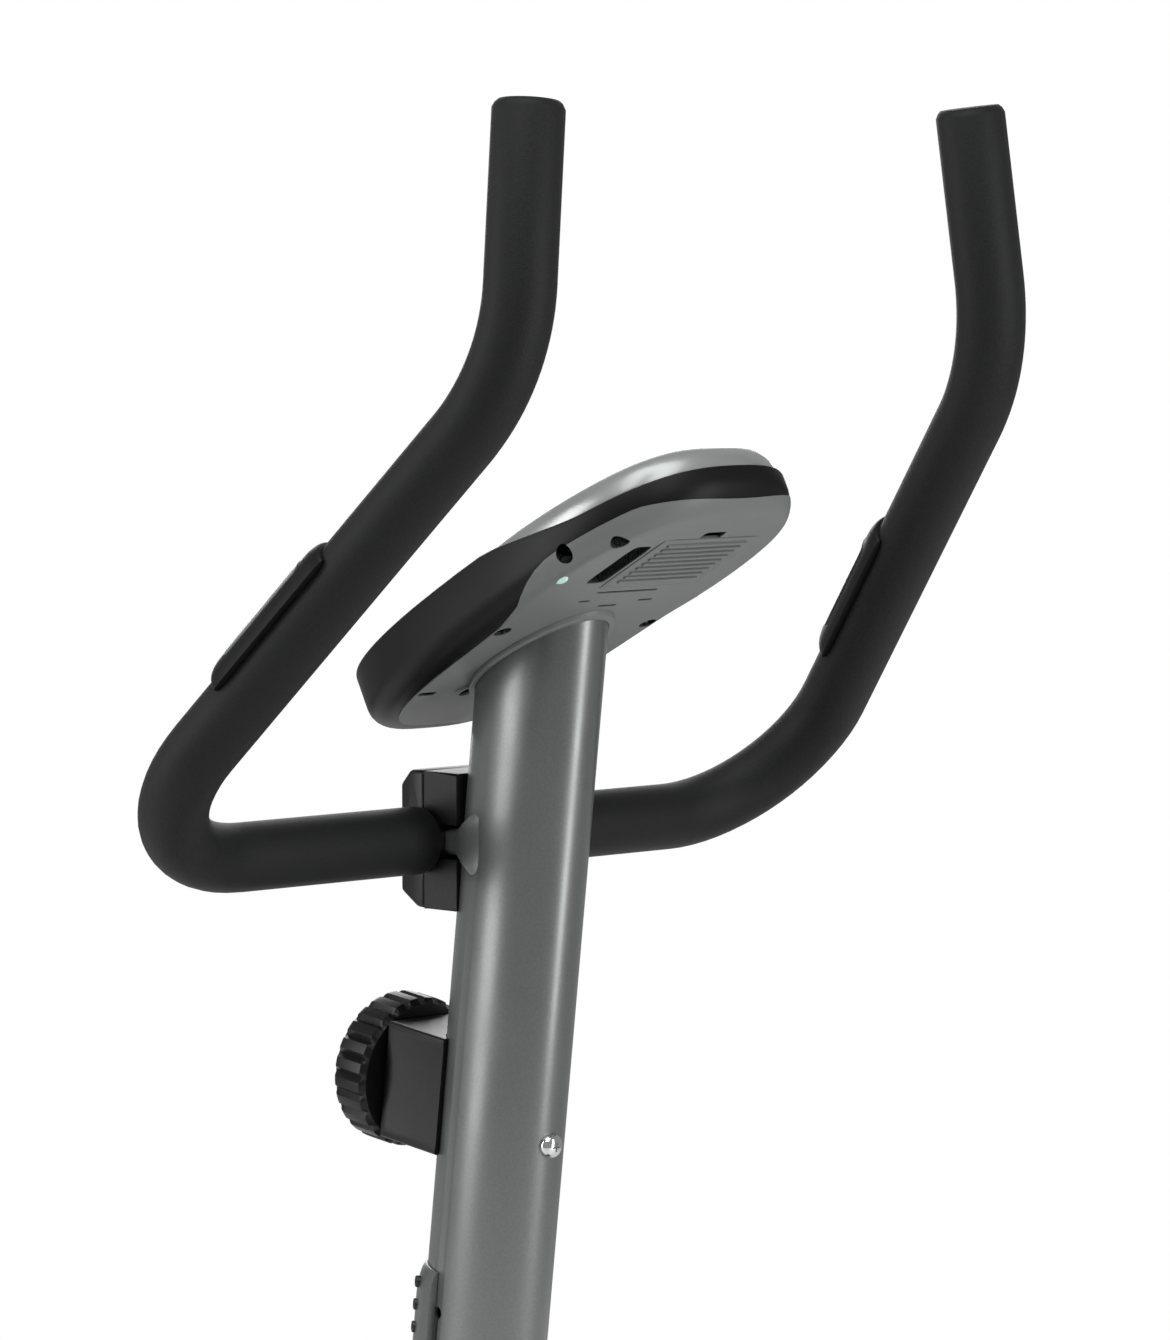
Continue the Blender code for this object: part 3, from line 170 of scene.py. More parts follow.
def raise_skin(tree, source, distance, strength=1.0):
    """Raises the surface by distance, in metres, where the pattern is bright."""
    node = add_node(tree, "Bump", {"Height": source, "Distance": distance, "Strength": strength})
    tree.links.new(node.outputs["Normal"], tree.nodes["Principled BSDF"].inputs["Normal"])


def new_finish(name, colour, rough=None, skin=None, **inputs):
    """A material with one Principled shader, whose even values sit on the shader's own sockets.

    Rough is the size, detail, low and high of a wandering roughness, and skin is the size, detail
    and depth of a fine grain.
    """
    finish = bpy.data.materials.new(name)
    finish.use_nodes = True
    tree = finish.node_tree
    shader = tree.nodes["Principled BSDF"]
    shader.inputs["Base Color"].default_value = linear(colour)
    for key, value in inputs.items():
        shader.inputs[key.replace("_", " ")].default_value = value
    if rough:
        size, detail, low, high = rough
        shade = ramp(tree, grain(tree, size, detail), grey(low), grey(high))
        tree.links.new(shade, shader.inputs["Roughness"])
    if skin:
        size, detail, depth = skin
        raise_skin(tree, grain(tree, size, detail), depth)
    return finish


def mottle(finish, source, low, high, *positions):
    """Lets the colour wander between two values."""
    tree = finish.node_tree
    shade = ramp(tree, source, linear(low), linear(high), *positions)
    tree.links.new(shade, tree.nodes["Principled BSDF"].inputs["Base Color"])


# %% [markdown]
# ## Finishes
# **Mast paint** is a metallic silver-grey lacquer on steel: aluminium flake in the base coat, a
# clear coat over it, and the faint waviness of a drawn tube, which softens the edges of what it
# reflects. **Frame paint** is black powder coat, which cures with a fine orange peel.

# %% Painted steel
MAST_PAINT = new_finish(
    "silver_grey_lacquer_on_steel", "#767978", (0.016, 2.0, 0.33, 0.38), (0.016, 2.0, 0.0001),
    Metallic=0.68, Roughness=0.36, Coat_Weight=0.25, Coat_Roughness=0.20,
)
mottle(MAST_PAINT, grain(MAST_PAINT.node_tree, 0.0006, 1.0), "#747776", "#797c7b")
FRAME_PAINT = new_finish(
    "black_powder_coat", "#121213", (0.03, 6.0, 0.32, 0.46), (0.0016, 2.0, 0.00006),
    Roughness=0.38, Coat_Weight=0.2, Coat_Roughness=0.25,
)

# %% [markdown]
# **Grip foam** is closed-cell rubber foam. Its skin is sliced open, so it shows tiny dark cells,
# it is very matt, and a little light catches its fuzz at glancing angles, which is what sheen
# gives. The real cells are about 0.3 mm and are drawn at 0.7 mm, or they wouldn't show.

# %% Foam, rubber and vinyl
FOAM = new_finish(
    "closed_cell_grip_foam", "#101111", Roughness=0.60, Sheen_Weight=0.02, Sheen_Roughness=0.5,
    Specular_IOR_Level=0.28,
)
cells = pattern(FOAM.node_tree, "TexVoronoi", 1400.0, {}, "Distance", feature="F1")
mottle(FOAM, cells, "#141515", "#0b0c0c", 0.2, 0.8)
raise_skin(FOAM.node_tree, cells, 0.00012, 0.7)

VINYL = new_finish(
    "grained_black_vinyl", "#1c1c1d", (0.035, 4.0, 0.42, 0.56), Roughness=0.48, Coat_Weight=0.12,
    Coat_Roughness=0.4,
)
hide = pattern(VINYL.node_tree, "TexVoronoi", 420.0, {}, "Distance", feature="DISTANCE_TO_EDGE")
raise_skin(VINYL.node_tree, ramp(VINYL.node_tree, hide, grey(0.0), grey(1.0), 0.0, 0.12), 0.00018, 0.8)


def make_rubber(name, colour, roughness):
    bloom = (0.012, 5.0, roughness - 0.08, roughness + 0.1)
    return new_finish(name, colour, bloom, (0.0008, 1.0, 0.00004), Roughness=roughness)


RUBBER = make_rubber("moulded_black_rubber", "#1a1a1a", 0.62)

# %% [markdown]
# **Moulded plastic** takes its skin from the steel mould, which is spark-eroded to a fine grain.
# Polypropylene covers are black with a soft shine, ABS console shells are a little smoother, and
# the console's top is sprayed silver under lacquer. **Bright metal**: chromed tube mirrors its
# surroundings, zinc-plated fasteners are duller and faintly blue, and machined iron is duller yet.

# %% Plastics and metals
def make_plastic(name, colour, roughness, size=0.0009, depth=0.00005, **more):
    cloud = (0.05, 4.0, roughness - 0.05, roughness + 0.06)
    return new_finish(name, colour, cloud, (size, 2.0, depth), Roughness=roughness, **more)


def make_metal(name, colour, roughness, scratch):
    wipe = (0.004, 6.0, roughness, roughness + scratch)
    return new_finish(name, colour, wipe, Metallic=1.0, Roughness=roughness)


BLACK_PLASTIC = make_plastic("grained_black_polypropylene", "#0b0b0b", 0.38, Specular_IOR_Level=0.32)
GLOSS_BLACK = make_plastic("satin_black_abs", "#060606", 0.44, depth=0.00002, Specular_IOR_Level=0.22)
COVER_PLASTIC = make_plastic("grained_black_cover", "#141515", 0.46, 0.0012, 0.00007)
UNDER_PLASTIC = make_plastic("dark_grey_abs", "#6c6e6e", 0.46)
SILVER = make_plastic(
    "silver_lacquer_on_abs", "#a2a5a4", 0.30, 0.0007, 0.00002, Metallic=0.55, Coat_Weight=0.3
)
CHROME = make_metal("bright_chrome_plate", "#d8d9da", 0.06, 0.05)
ZINC = make_metal("zinc_plated_steel", "#b3b6ba", 0.28, 0.12)
CONTACT_STEEL = make_metal("satin_stainless_contact", "#a9abac", 0.30, 0.08)
IRON = make_metal("machined_cast_iron", "#77797c", 0.38, 0.14)
DISPLAY = new_finish(
    "tinted_display_window", "#39403a", Roughness=0.08, Coat_Weight=0.6, Coat_Roughness=0.03
)
# The jack's pale green plastic has a faint emission in its own colour: a painted glow on a part that is no
# lamp.
GREEN_PAINTED_GLOW = new_finish(
    "pale_green_plastic", "#c4e6dc", Roughness=0.25, Emission_Strength=0.15,
    Emission_Color=linear("#c4e6dc"),
)
print("finishes:", len(bpy.data.materials))

# %% [markdown]
# ## Working helpers
# An operator acts on everything that is selected, so each piece starts from an empty selection.
# These helpers hold the steps that every piece repeats: pick, bevel, cut, put in place, and tell
# the frame what the piece rides on and which model nodes it stands for.

# %% Selection and modifiers
def only(piece):
    bpy.ops.object.select_all(action="DESELECT")
    piece.select_set(True)
    bpy.context.view_layer.objects.active = piece


def named(name):
    """Names the object that an operator has just added."""
    piece = bpy.context.object
    piece.name = piece.data.name = name
    return piece


def everything():
    bpy.ops.mesh.select_all(action="SELECT")


def edit(piece):
    only(piece)
    bpy.ops.object.mode_set(mode="EDIT")
    everything()


def leave_edit(face_outward=False):
    if face_outward:
        everything()
        bpy.ops.mesh.normals_make_consistent(inside=False)
    bpy.ops.object.mode_set(mode="OBJECT")


def pick(piece, kind, test):
    """Selects the edit-mode faces or edges that pass a test on their middle and their direction."""
    mesh = bmesh.from_edit_mesh(piece.data)
    bpy.ops.mesh.select_all(action="DESELECT")
    for item in getattr(mesh, kind):
        if kind == "faces":
            chosen = test(item.calc_center_median(), item.normal)
        else:
            start, end = (vertex.co for vertex in item.verts)
            chosen = test((start + end) / 2, start - end)
        if chosen:
            item.select_set(True)
    mesh.select_flush_mode()
    bmesh.update_edit_mesh(piece.data)


def modify(piece, kind, **settings):
    """Adds a modifier, sets it and applies it."""
    only(piece)
    modifier = piece.modifiers.new(kind.lower(), kind)
    for name, value in settings.items():
        setattr(modifier, name, value)
    bpy.ops.object.modifier_apply(modifier=modifier.name)


def round_edges(piece, width, segments=3, angle=30):
    modify(
        piece, "BEVEL", width=width, segments=segments, limit_method="ANGLE",
        angle_limit=math.radians(angle), use_clamp_overlap=True,
    )


def put(piece, matrix):
    """Moves a piece from the origin to its place, and keeps the place in its mesh."""
    only(piece)
    piece.matrix_world = matrix
    bpy.ops.object.transform_apply(location=True, rotation=True, scale=True)
    if matrix.determinant() < 0:
        edit(piece)
        leave_edit(face_outward=True)
    return piece


def cut(piece, tool, place=Matrix(), operation="DIFFERENCE"):
    """Cuts one piece with another that is put in place first, and removes the tool."""
    put(tool, place)
    modify(piece, "BOOLEAN", object=tool, operation=operation, solver="EXACT")
    bpy.data.objects.remove(tool)


def join(piece, other, place=Matrix()):
    cut(piece, other, place, "UNION")


def drill(piece, radius, low, high, place=Matrix(), sides=48):
    """Cuts a round hole along the local Z of a place."""
    cut(piece, rod("drill", radius, low, high, sides), place)


def open_edges(piece):
    """How many edges don't join exactly two faces."""
    mesh = bmesh.new()
    mesh.from_mesh(piece.data)
    count = sum(len(edge.link_faces) != 2 for edge in mesh.edges)
    mesh.free()
    return count


def mend(piece):
    """Closes the hairline cracks that a cut can leave where two faces graze."""
    edit(piece)
    bpy.ops.mesh.remove_doubles(threshold=3e-5)
    bpy.ops.mesh.dissolve_degenerate(threshold=1e-5)
    bpy.ops.mesh.delete_loose()
    everything()
    bpy.ops.mesh.fill_holes(sides=0)
    leave_edit(face_outward=True)


def dress(piece, finish, body, nodes=(), smooth=35):
    """Gives a piece its finish, its shading, the body that it rides on and the nodes it stands for."""
    if open_edges(piece):
        mend(piece)
        print(piece.name, "mended, open edges left:", open_edges(piece))
    only(piece)
    piece.data.materials.clear()
    piece.data.materials.append(finish)
    bpy.ops.object.shade_smooth_by_angle(angle=math.radians(smooth))
    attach(piece, body)
    if nodes:
        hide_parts(*nodes)
    return piece


# %% [markdown]
# Three ways of starting a piece cover most of the bike. A **turned** piece is a profile that
# grows point by point and is then spun, as on a lathe. A **lofted** piece is a filled outline
# that is extruded again and again, and drawn to a new outline each time. A **pipe** is a round
# tube along a line.

# %% Turned, lofted and piped pieces
def turned(name, profile, sides=64):
    """Spins (radius, height) points round Z. A profile that ends where it began makes a ring."""
    bpy.ops.mesh.primitive_plane_add(size=0.01)
    piece = named(name)
    edit(piece)
    bpy.ops.mesh.merge(type="CENTER")
    (radius, height), *rest = profile
    bpy.ops.transform.translate(value=(radius, 0, height))
    for next_radius, next_height in rest:
        step = (next_radius - radius, 0, next_height - height)
        bpy.ops.mesh.extrude_vertices_move(TRANSFORM_OT_translate={"value": step})
        radius, height = next_radius, next_height
    everything()
    bpy.ops.mesh.spin(steps=sides, angle=math.tau, center=(0, 0, 0), axis=(0, 0, 1))
    everything()
    bpy.ops.mesh.remove_doubles(threshold=1e-5)
    leave_edit(face_outward=True)
    return piece


def lofted(name, loops):
    """Extrudes a filled outline through loops of 3-D points, all of the same length."""
    bpy.ops.mesh.primitive_circle_add(vertices=len(loops[0]), radius=1, fill_type="NGON")
    piece = named(name)
    for vertex, point in zip(piece.data.vertices, loops[0]):
        vertex.co = point
    edit(piece)
    for before, after in zip(loops, loops[1:]):
        bpy.ops.mesh.extrude_region_move()
        mesh = bmesh.from_edit_mesh(piece.data)
        starts = KDTree(len(before))
        for i, point in enumerate(before):
            starts.insert(point, i)
        starts.balance()
        for vertex in [vertex for vertex in mesh.verts if vertex.select]:
            vertex.co = after[starts.find(vertex.co)[1]]
        bmesh.update_edit_mesh(piece.data)
    leave_edit(face_outward=True)
    return piece


def at_height(outline, z):
    return [(x, y, z) for x, y in outline]


def extruded(name, outline, low, high):
    """A flat outline of (x, y) points with a thickness along Z."""
    return lofted(name, [at_height(outline, low), at_height(outline, high)])


def piped(name, points, radius, sides=32, shares=None, closed=False):
    """A round bar along a line of points, or a ring. Shares scale its radius at each point."""
    bpy.ops.curve.primitive_bezier_curve_add()
    piece = named(name)
    piece.data.splines.clear()
    line = piece.data.splines.new("POLY")
    line.points.add(len(points) - 1)
    for slot, point, share in zip(line.points, points, shares or [1] * len(points)):
        slot.co = (*point, 1)
        slot.radius = share
    piece.data.dimensions = "3D"
    piece.data.bevel_depth = radius
    piece.data.bevel_resolution = sides // 4
    line.use_cyclic_u = closed
    piece.data.use_fill_caps = not closed
    only(piece)
    bpy.ops.object.convert(target="MESH")
    piece = bpy.context.object
    edit(piece)
    bpy.ops.mesh.remove_doubles(threshold=1e-6)
    leave_edit(face_outward=True)
    return piece


def block(name, low, high):
    """A box between two corners, to be shaped further."""
    low, high = Vector(low), Vector(high)
    bpy.ops.mesh.primitive_cube_add(size=1, location=(low + high) / 2, scale=high - low)
    piece = named(name)
    bpy.ops.object.transform_apply(location=True, rotation=True, scale=True)
    return piece


def centred_block(name, x, y, low, high):
    """A box as wide as twice x and as deep as twice y, between two heights."""
    return block(name, (-x, -y, low), (x, y, high))


def rod(name, radius, low, high, sides=48):
    """A plain round bar along Z, most often a tool for a hole."""
    bpy.ops.mesh.primitive_cylinder_add(
        vertices=sides, radius=radius, depth=high - low, location=(0, 0, (low + high) / 2)
    )
    piece = named(name)
    bpy.ops.object.transform_apply(location=True, rotation=True, scale=True)
    return piece


# %% Outlines
def around(count, point_at):
    """A closed loop: the point that a function gives at each of so many even turns."""
    return [point_at(math.tau * step / count) for step in range(count)]


def oval(half_x, half_y, count, power=2.0, taper=0.0):
    """A superellipse, as points. A taper narrows it towards +y by that share of its width."""
    def point(turn):
        c, s = math.cos(turn), math.sin(turn)
        y = math.copysign(abs(s) ** (2 / power), s)
        return half_x * math.copysign(abs(c) ** (2 / power), c) * (1 - taper * y / 2), half_y * y

    return around(count, point)


def hull_of_discs(discs, count, inset=0.0):
    """The outline that a string round some (x, y, radius) discs takes."""
    def point(turn):
        c, s = math.cos(turn), math.sin(turn)
        x, y, radius = max(discs, key=lambda disc: disc[0] * c + disc[1] * s + disc[2])
        return x + (radius - inset) * c, y + (radius - inset) * s

    return around(count, point)


def wavy_loop(count, z, reach):
    """A loop at one height whose radius is a function of the turn."""
    return around(count, lambda turn: (reach(turn) * math.cos(turn), reach(turn) * math.sin(turn), z))


def arc(half_x, half_y, first, last, steps):
    """Part of an ellipse, from one angle to another in degrees."""
    turns = [math.radians(first + (last - first) * step / steps) for step in range(steps + 1)]
    return [(half_x * math.cos(turn), half_y * math.sin(turn)) for turn in turns]


def bent_line(corners, radii, steps=16):
    """Corners joined by straight lines, with an arc of the given radius at each inner one."""
    line = [corners[0]]
    for before, corner, after, radius in zip(corners, corners[1:], corners[2:], radii):
        back, ahead = (before - corner).normalized(), (after - corner).normalized()
        half = back.angle(ahead) / 2
        centre = corner + (back + ahead).normalized() * radius / math.sin(half)
        start = corner + back * radius / math.tan(half) - centre
        end = corner + ahead * radius / math.tan(half) - centre
        line += [centre + start.slerp(end, step / steps) * radius for step in range(steps + 1)]
    return line + [corners[-1]]


# %% [markdown]
# ## Floor, lights and camera
# The studio is plain: a pale floor disc under a white backdrop. Painted tube shows its shape by
# what it mirrors, so two tall soft lights stand where their reflections fall as vertical bands on
# the mast, and a large one overhead lifts the tops of the dark pieces.

# %% Camera
VIEW_AZIMUTH, VIEW_ELEVATION = math.radians(-43.41), math.radians(4.362)
VIEW_DISTANCE = 2.9957
CAMERA_BACK = Vector((
    math.sin(VIEW_AZIMUTH) * math.cos(VIEW_ELEVATION),
    -math.cos(VIEW_AZIMUTH) * math.cos(VIEW_ELEVATION),
    math.sin(VIEW_ELEVATION),
))
CAMERA_RIGHT = Vector((math.cos(VIEW_AZIMUTH), math.sin(VIEW_AZIMUTH), 0))
CAMERA_UP = CAMERA_BACK.cross(CAMERA_RIGHT)
camera_data = bpy.data.cameras.new("camera")
camera_data.lens = 162.85
camera = bpy.data.objects.new("camera", camera_data)
scene = bpy.context.scene
scene.collection.objects.link(camera)
camera_place = BAR + CAMERA_BACK * VIEW_DISTANCE + CAMERA_RIGHT * 0.0625 + CAMERA_UP * 0.0822
camera.matrix_world = axes(camera_place, CAMERA_RIGHT, CAMERA_UP, CAMERA_BACK)
scene.camera = camera
scene.view_settings.view_transform = "Standard"
print("camera at", [round(value, 3) for value in camera_place])


# %% Lights and floor
def softbox(name, azimuth, height, distance, width, tall, power):
    """A soft rectangle of light at an azimuth, which looks at the middle of the bike."""
    turn = math.radians(azimuth)
    target = Vector((0, -0.15, 0.75))
    place = target + Vector((math.sin(turn), -math.cos(turn), 0)) * distance
    place.z = height
    data = bpy.data.lights.new(name, "AREA")
    data.shape = "RECTANGLE"
    data.size, data.size_y, data.energy = width, tall, power
    light = bpy.data.objects.new(name, data)
    light.location = place
    light.rotation_euler = (place - target).to_track_quat("Z", "Y").to_euler()
    scene.collection.objects.link(light)


softbox("front_strip", 14, 1.15, 2.2, 0.50, 2.0, 22)
softbox("side_panel", -122, 1.20, 2.2, 0.8, 2.0, 20)
softbox("overhead", -60, 3.0, 1.2, 2.2, 2.2, 42)
softbox("rear_fill", 140, 1.8, 3.0, 2.0, 2.0, 34)

world = bpy.data.worlds.new("studio")
scene.world = world
world.use_nodes = True
sky = world.node_tree
ambient = add_node(sky, "Background", {"Color": grey(1), "Strength": 0.32}).outputs[0]
backdrop = add_node(sky, "Background", {"Color": grey(1), "Strength": 1.0}).outputs[0]
seen = add_node(sky, "LightPath", {}).outputs["Is Camera Ray"]
blend = add_node(sky, "MixShader", {0: seen, 1: ambient, 2: backdrop})
sky.links.new(blend.outputs[0], sky.nodes["World Output"].inputs["Surface"])

bpy.ops.object.select_all(action="DESELECT")
bpy.ops.mesh.primitive_circle_add(vertices=96, radius=2.6, fill_type="NGON")
floor = named("studio_floor")
floor.data.materials.append(new_finish("pale_studio_floor", "#f2f2f1", Roughness=0.7))

# %% [markdown]
# ## Handlebar
# The real bar is one steel tube, bent at four places, with foam sleeves pushed on from both ends.
# A line with an arc at each bend gives the tube's centre; a pipe along it gives the bar, and a
# wider pipe gives each sleeve. The sleeve ends are cut square, with their edges just broken.

# %% Handlebar and grips
BAR_RADIUS, GRIP_RADIUS = 0.0127, 0.0168
BAR_CORNER, BAR_UPPER_BEND = Vector((0.226, 0, 0)), Vector((0.159, -0.214, 0.2355))
BAR_TIP = Vector((0.145, -0.2075, 0.3545))
ARM = (BAR_UPPER_BEND - BAR_CORNER).normalized()
TIP_WAY = (BAR_TIP - BAR_UPPER_BEND).normalized()
half_line = bent_line([Vector((0, 0, 0)), BAR_CORNER, BAR_UPPER_BEND, BAR_TIP], (0.068, 0.099), 18)


def on_bar(points, side):
    """Points counted from the bar's middle, put on its left side, 1, or its right side, -1."""
    return [BAR + Vector((side * p.x, p.y, p.z)) for p in points]


bar = piped("handlebar_tube", on_bar(half_line[:0:-1], -1) + on_bar(half_line, 1), BAR_RADIUS, 32)
dress(bar, FRAME_PAINT, "handlebar", ["handlebar"])

for side, word in SIDES:
    start, end = Vector((0.0255, 0, 0)), BAR_TIP + TIP_WAY * 0.0033
    line = [start + X_AXIS * step for step in (0, 0.0012, 0.0035)] + half_line[1:-1]
    line += [end - TIP_WAY * step for step in (0.0038, 0.0014, 0)]
    shares = [0.93, 0.975] + [1.0] * (len(line) - 4) + [0.93, 0.84]
    sleeve = piped("foam_grip_" + word, on_bar(line, side), GRIP_RADIUS, 48, shares)
    dress(sleeve, FOAM, "handlebar", ["grip_" + word], 50)
    print(sleeve.name, "is", round(sum((b - a).length for a, b in zip(line, line[1:])), 3), "m long")

# %% [markdown]
# **Pulse sensors** are two half shells clipped over the foam where the palms rest, each with a
# stainless contact plate. A shell is an arc-shaped outline carried along the arm; it swells from
# the foam over its first few millimetres. The contact plate repeats the arc, narrower and proud.

# %% Pulse sensors
ARM_UPPER = Vector((0, ARM.z, -ARM.y)).normalized()
ARM_FLANK = ARM_UPPER.cross(ARM)


def half_shell(name, side, radii, angles, ends, swell):
    """An arc-shaped shell along the arm whose ends come down to the foam over the swell."""
    (inner, outer), (first, last), (start, end) = radii, angles, ends
    turns = [math.pi / 2 * step / 6 for step in range(7)]
    stations = [(start + swell * (1 - math.cos(turn)), math.sin(turn)) for turn in turns]
    stations += [(end - (at - start), rise) for at, rise in reversed(stations)]
    loops = []
    for at, rise in stations:
        top, trim = inner + 0.0009 + (outer - inner - 0.0009) * rise, 5 * (1 - rise)
        band = arc(top, top, first + trim, last - trim, 20) + arc(inner, inner, last - trim, first + trim, 20)
        centre = BAR_CORNER + ARM * at
        loops.append(on_bar([centre + ARM_FLANK * x + ARM_UPPER * y for x, y in band], side))
    return lofted(name, loops)


for side, word in SIDES:
    shell = half_shell("pulse_shell_" + word, side, (0.0170, 0.0208), (8, 172), (0.115, 0.200), 0.010)
    dress(shell, GLOSS_BLACK, "handlebar", ["pulse_sensor_" + word], 40)
    contact = half_shell("pulse_contact_" + word, side, (0.0203, 0.0213), (35, 145), (0.129, 0.186), 0.003)
    dress(contact, CONTACT_STEEL, "handlebar", (), 40)
print("pulse sensors ready")

# %% [markdown]
# ## Mast
# The mast is oval steel tube, cut at an angle at the top where the console sits on it. It is
# modelled as an oval extruded along its axis and hollowed by a smaller one. A bisection trims its
# top. Near the foot it is slit, with a round hole at the slit's end to stop a crack from starting.

# %% Mast tube
MAST_HALF_X, MAST_HALF_Y = 0.027, 0.035
PLATE_Z = -0.018
mast_top = on_mast(BAR.z)
mast_top += MAST_UP * ((PLATE_Z - (mast_top - CONSOLE_CENTRE).dot(CONSOLE_OUT)) / MAST_UP.dot(CONSOLE_OUT))


def mast_axes(height):
    """Local X across, local Y to the rear and local Z up the mast."""
    return axes(on_mast(height), X_AXIS, MAST_REAR, MAST_UP)


def mast_bar(name, growth, low, high):
    """A solid oval bar on the mast's axis, grown or shrunk, between two heights."""
    outline = oval(MAST_HALF_X + growth, MAST_HALF_Y + growth, 96)
    return put(extruded(name, outline, 0, (high - low) / MAST_UP.z), mast_axes(low))


def trim(piece, point, normal, **clear):
    """Cuts a piece off at a plane and closes the cut."""
    edit(piece)
    bpy.ops.mesh.bisect(plane_co=point, plane_no=normal, use_fill=True, **clear)
    leave_edit()


def mast_side(height, angle, distance=0.0):
    """Axes on the mast's flank, whose local Z points out of the surface at that angle."""
    c, s = math.cos(math.radians(angle)), math.sin(math.radians(angle))
    out = Vector((c / MAST_HALF_X, s / MAST_HALF_Y, 0)).normalized()
    point = Vector((MAST_HALF_X * c, MAST_HALF_Y * s, 0)) + out * distance
    return mast_axes(height) @ axes(point, Z_AXIS.cross(out), Z_AXIS, out)


SLIT_TOP, SLIT_ANGLE = 0.716, 168
mast = mast_bar("mast_tube", 0, 0.575, 1.10)
trim(mast, mast_top - CONSOLE_OUT * 0.0003, CONSOLE_OUT, clear_outer=True)
cut(mast, mast_bar("mast_bore", -0.002, 0.56, 1.12))
for angle in (SLIT_ANGLE, 180 - SLIT_ANGLE):
    slit = block("slit", (-0.0012, -0.16, -0.006), (0.0012, 0, 0.006))
    cut(mast, slit, mast_side(SLIT_TOP, angle))
    drill(mast, 0.0032, -0.006, 0.006, mast_side(SLIT_TOP, angle), 32)
round_edges(mast, 0.0004, 2, 50)
dress(mast, MAST_PAINT, "frame", ["mast"], 40)
print("mast top", round(mast_top.z, 4), "faces", len(mast.data.polygons))

# %% [markdown]
# A **half sleeve** is pressed over the rear of the joint where the mast slides on the frame's
# stub. It swells from the mast at its top edge, and small socket screws in two rows draw it tight.

# %% Sleeve
def sleeve_loop(height, thick):
    band = arc(MAST_HALF_X + thick, MAST_HALF_Y + thick, 15, 165, 30)
    band += arc(MAST_HALF_X + 0.0003, MAST_HALF_Y + 0.0003, 165, 15, 30)
    return [mast_axes(height) @ Vector((x, y, 0)) for x, y in band]


SLEEVE_LOW, SLEEVE_HIGH, SLEEVE_THICK = 0.612, 0.736, 0.0045
sleeve_loops = [sleeve_loop(SLEEVE_LOW, SLEEVE_THICK - 0.001), sleeve_loop(SLEEVE_LOW + 0.001, SLEEVE_THICK)]
for step in range(9):
    turn = math.pi / 2 * step / 8
    rise = 0.0006 + (SLEEVE_THICK - 0.0006) * math.cos(turn) ** 1.3
    sleeve_loops.append(sleeve_loop(SLEEVE_HIGH - 0.016 * (1 - math.sin(turn)), rise))
dress(lofted("mast_sleeve", sleeve_loops), MAST_PAINT, "frame", ["mast_backing_plate"], 40)


def socket_screw(name, radius, height, place):
    """A screw head with a rounded rim and a hexagonal socket, which points along Z."""
    head = turned(name, [
        (0, -0.001), (radius, -0.001), (radius, height * 0.65), (radius * 0.93, height * 0.9),
        (radius * 0.80, height), (0, height),
    ], 32)
    drill(head, radius * 0.5, height * 0.35, height * 2, sides=6)
    return put(head, place)


for row, angle in (("left", 42), ("right", 138)):
    for count, height in enumerate((0.727, 0.7155, 0.704, 0.640, 0.6285)):
        place = mast_side(height, angle, SLEEVE_THICK * 0.85)
        screw = socket_screw(f"sleeve_screw_{row}_{count + 1}", 0.0030, 0.0020, place)
        dress(screw, FRAME_PAINT, "frame")
print("sleeve ready")

# %% [markdown]
# ## Handlebar clamp
# Two black blocks grip the bar above and below a steel cradle that is welded to the mast. The
# front block reaches to the mast and the rear cap is lower, with sloping shoulders. Each is a box
# that is bevelled, then cut by the mast's and the bar's own shapes, so the fit is exact. The
# **cradle** is a short steel saddle in the mast's paint. It is lofted through rounded rectangles
# that flare from the bar to the weld, as a pressed bracket does.

# %% Clamp blocks, cradle and bolts
CLAMP_HALF_X, CLAMP_HALF_Z, BOLT_HEIGHT = 0.023, 0.034, 0.0245
AT_BAR = Matrix.Translation(BAR)


def fit_to_bar(piece):
    drill(piece, BAR_RADIUS + 0.0002, -0.1, 0.1, across(BAR), 64)


def clamp_block(name, front, rear, slope, half_x):
    """The side view is square to the front and sloped at its two rear corners."""
    top = CLAMP_HALF_Z
    outline = [(front, -top), (rear - slope * 1.6, -top), (rear, -top + slope), (rear, top - slope),
               (rear - slope * 0.9, top), (front, top)]
    block_side = put(extruded(name, outline, -half_x, half_x), across(BAR))
    round_edges(block_side, 0.0022, 3, 25)
    return block_side


base = clamp_block("clamp_front_block", -0.0450, -0.0003, 0.0, CLAMP_HALF_X)
cut(base, mast_bar("mast_space", 0.0003, 0.85, 1.05))
fit_to_bar(base)
cut(base, block("front_space", (-0.1, -0.1, -0.1), (0.1, -0.0238, 0.1)), AT_BAR)
cut(base, block("waist", (-0.1, -0.1, -0.0085), (0.1, -0.0119, 0.0085)), AT_BAR)
dress(base, BLACK_PLASTIC, "frame", ["handlebar_clamp_base"], 30)

cap = clamp_block("clamp_rear_cap", 0.0003, 0.0180, 0.0075, CLAMP_HALF_X - 0.0004)
fit_to_bar(cap)
for height in (BOLT_HEIGHT, -BOLT_HEIGHT):
    drill(cap, 0.0082, 0.0158, 0.05, rearward(BAR + Z_AXIS * height))
dress(cap, BLACK_PLASTIC, "frame", ["handlebar_clamp_cap"], 30)

CRADLE_STATIONS = (
    (-0.0119, 0.0200, 0.0078), (-0.0200, 0.0212, 0.0080), (-0.0245, 0.0235, 0.0095),
    (-0.0300, 0.0262, 0.0135), (-0.0360, 0.0272, 0.0185), (-0.0440, 0.0268, 0.0245),
)
cradle = lofted("clamp_cradle", [
    [(x, y, z) for x, z in oval(half_x, half_z, 64, 5)] for y, half_x, half_z in CRADLE_STATIONS
])
put(cradle, AT_BAR)
cut(cradle, mast_bar("mast_space", -0.0010, 0.85, 1.05))
fit_to_bar(cradle)
round_edges(cradle, 0.0012, 3, 40)
dress(cradle, MAST_PAINT, "frame", (), 40)

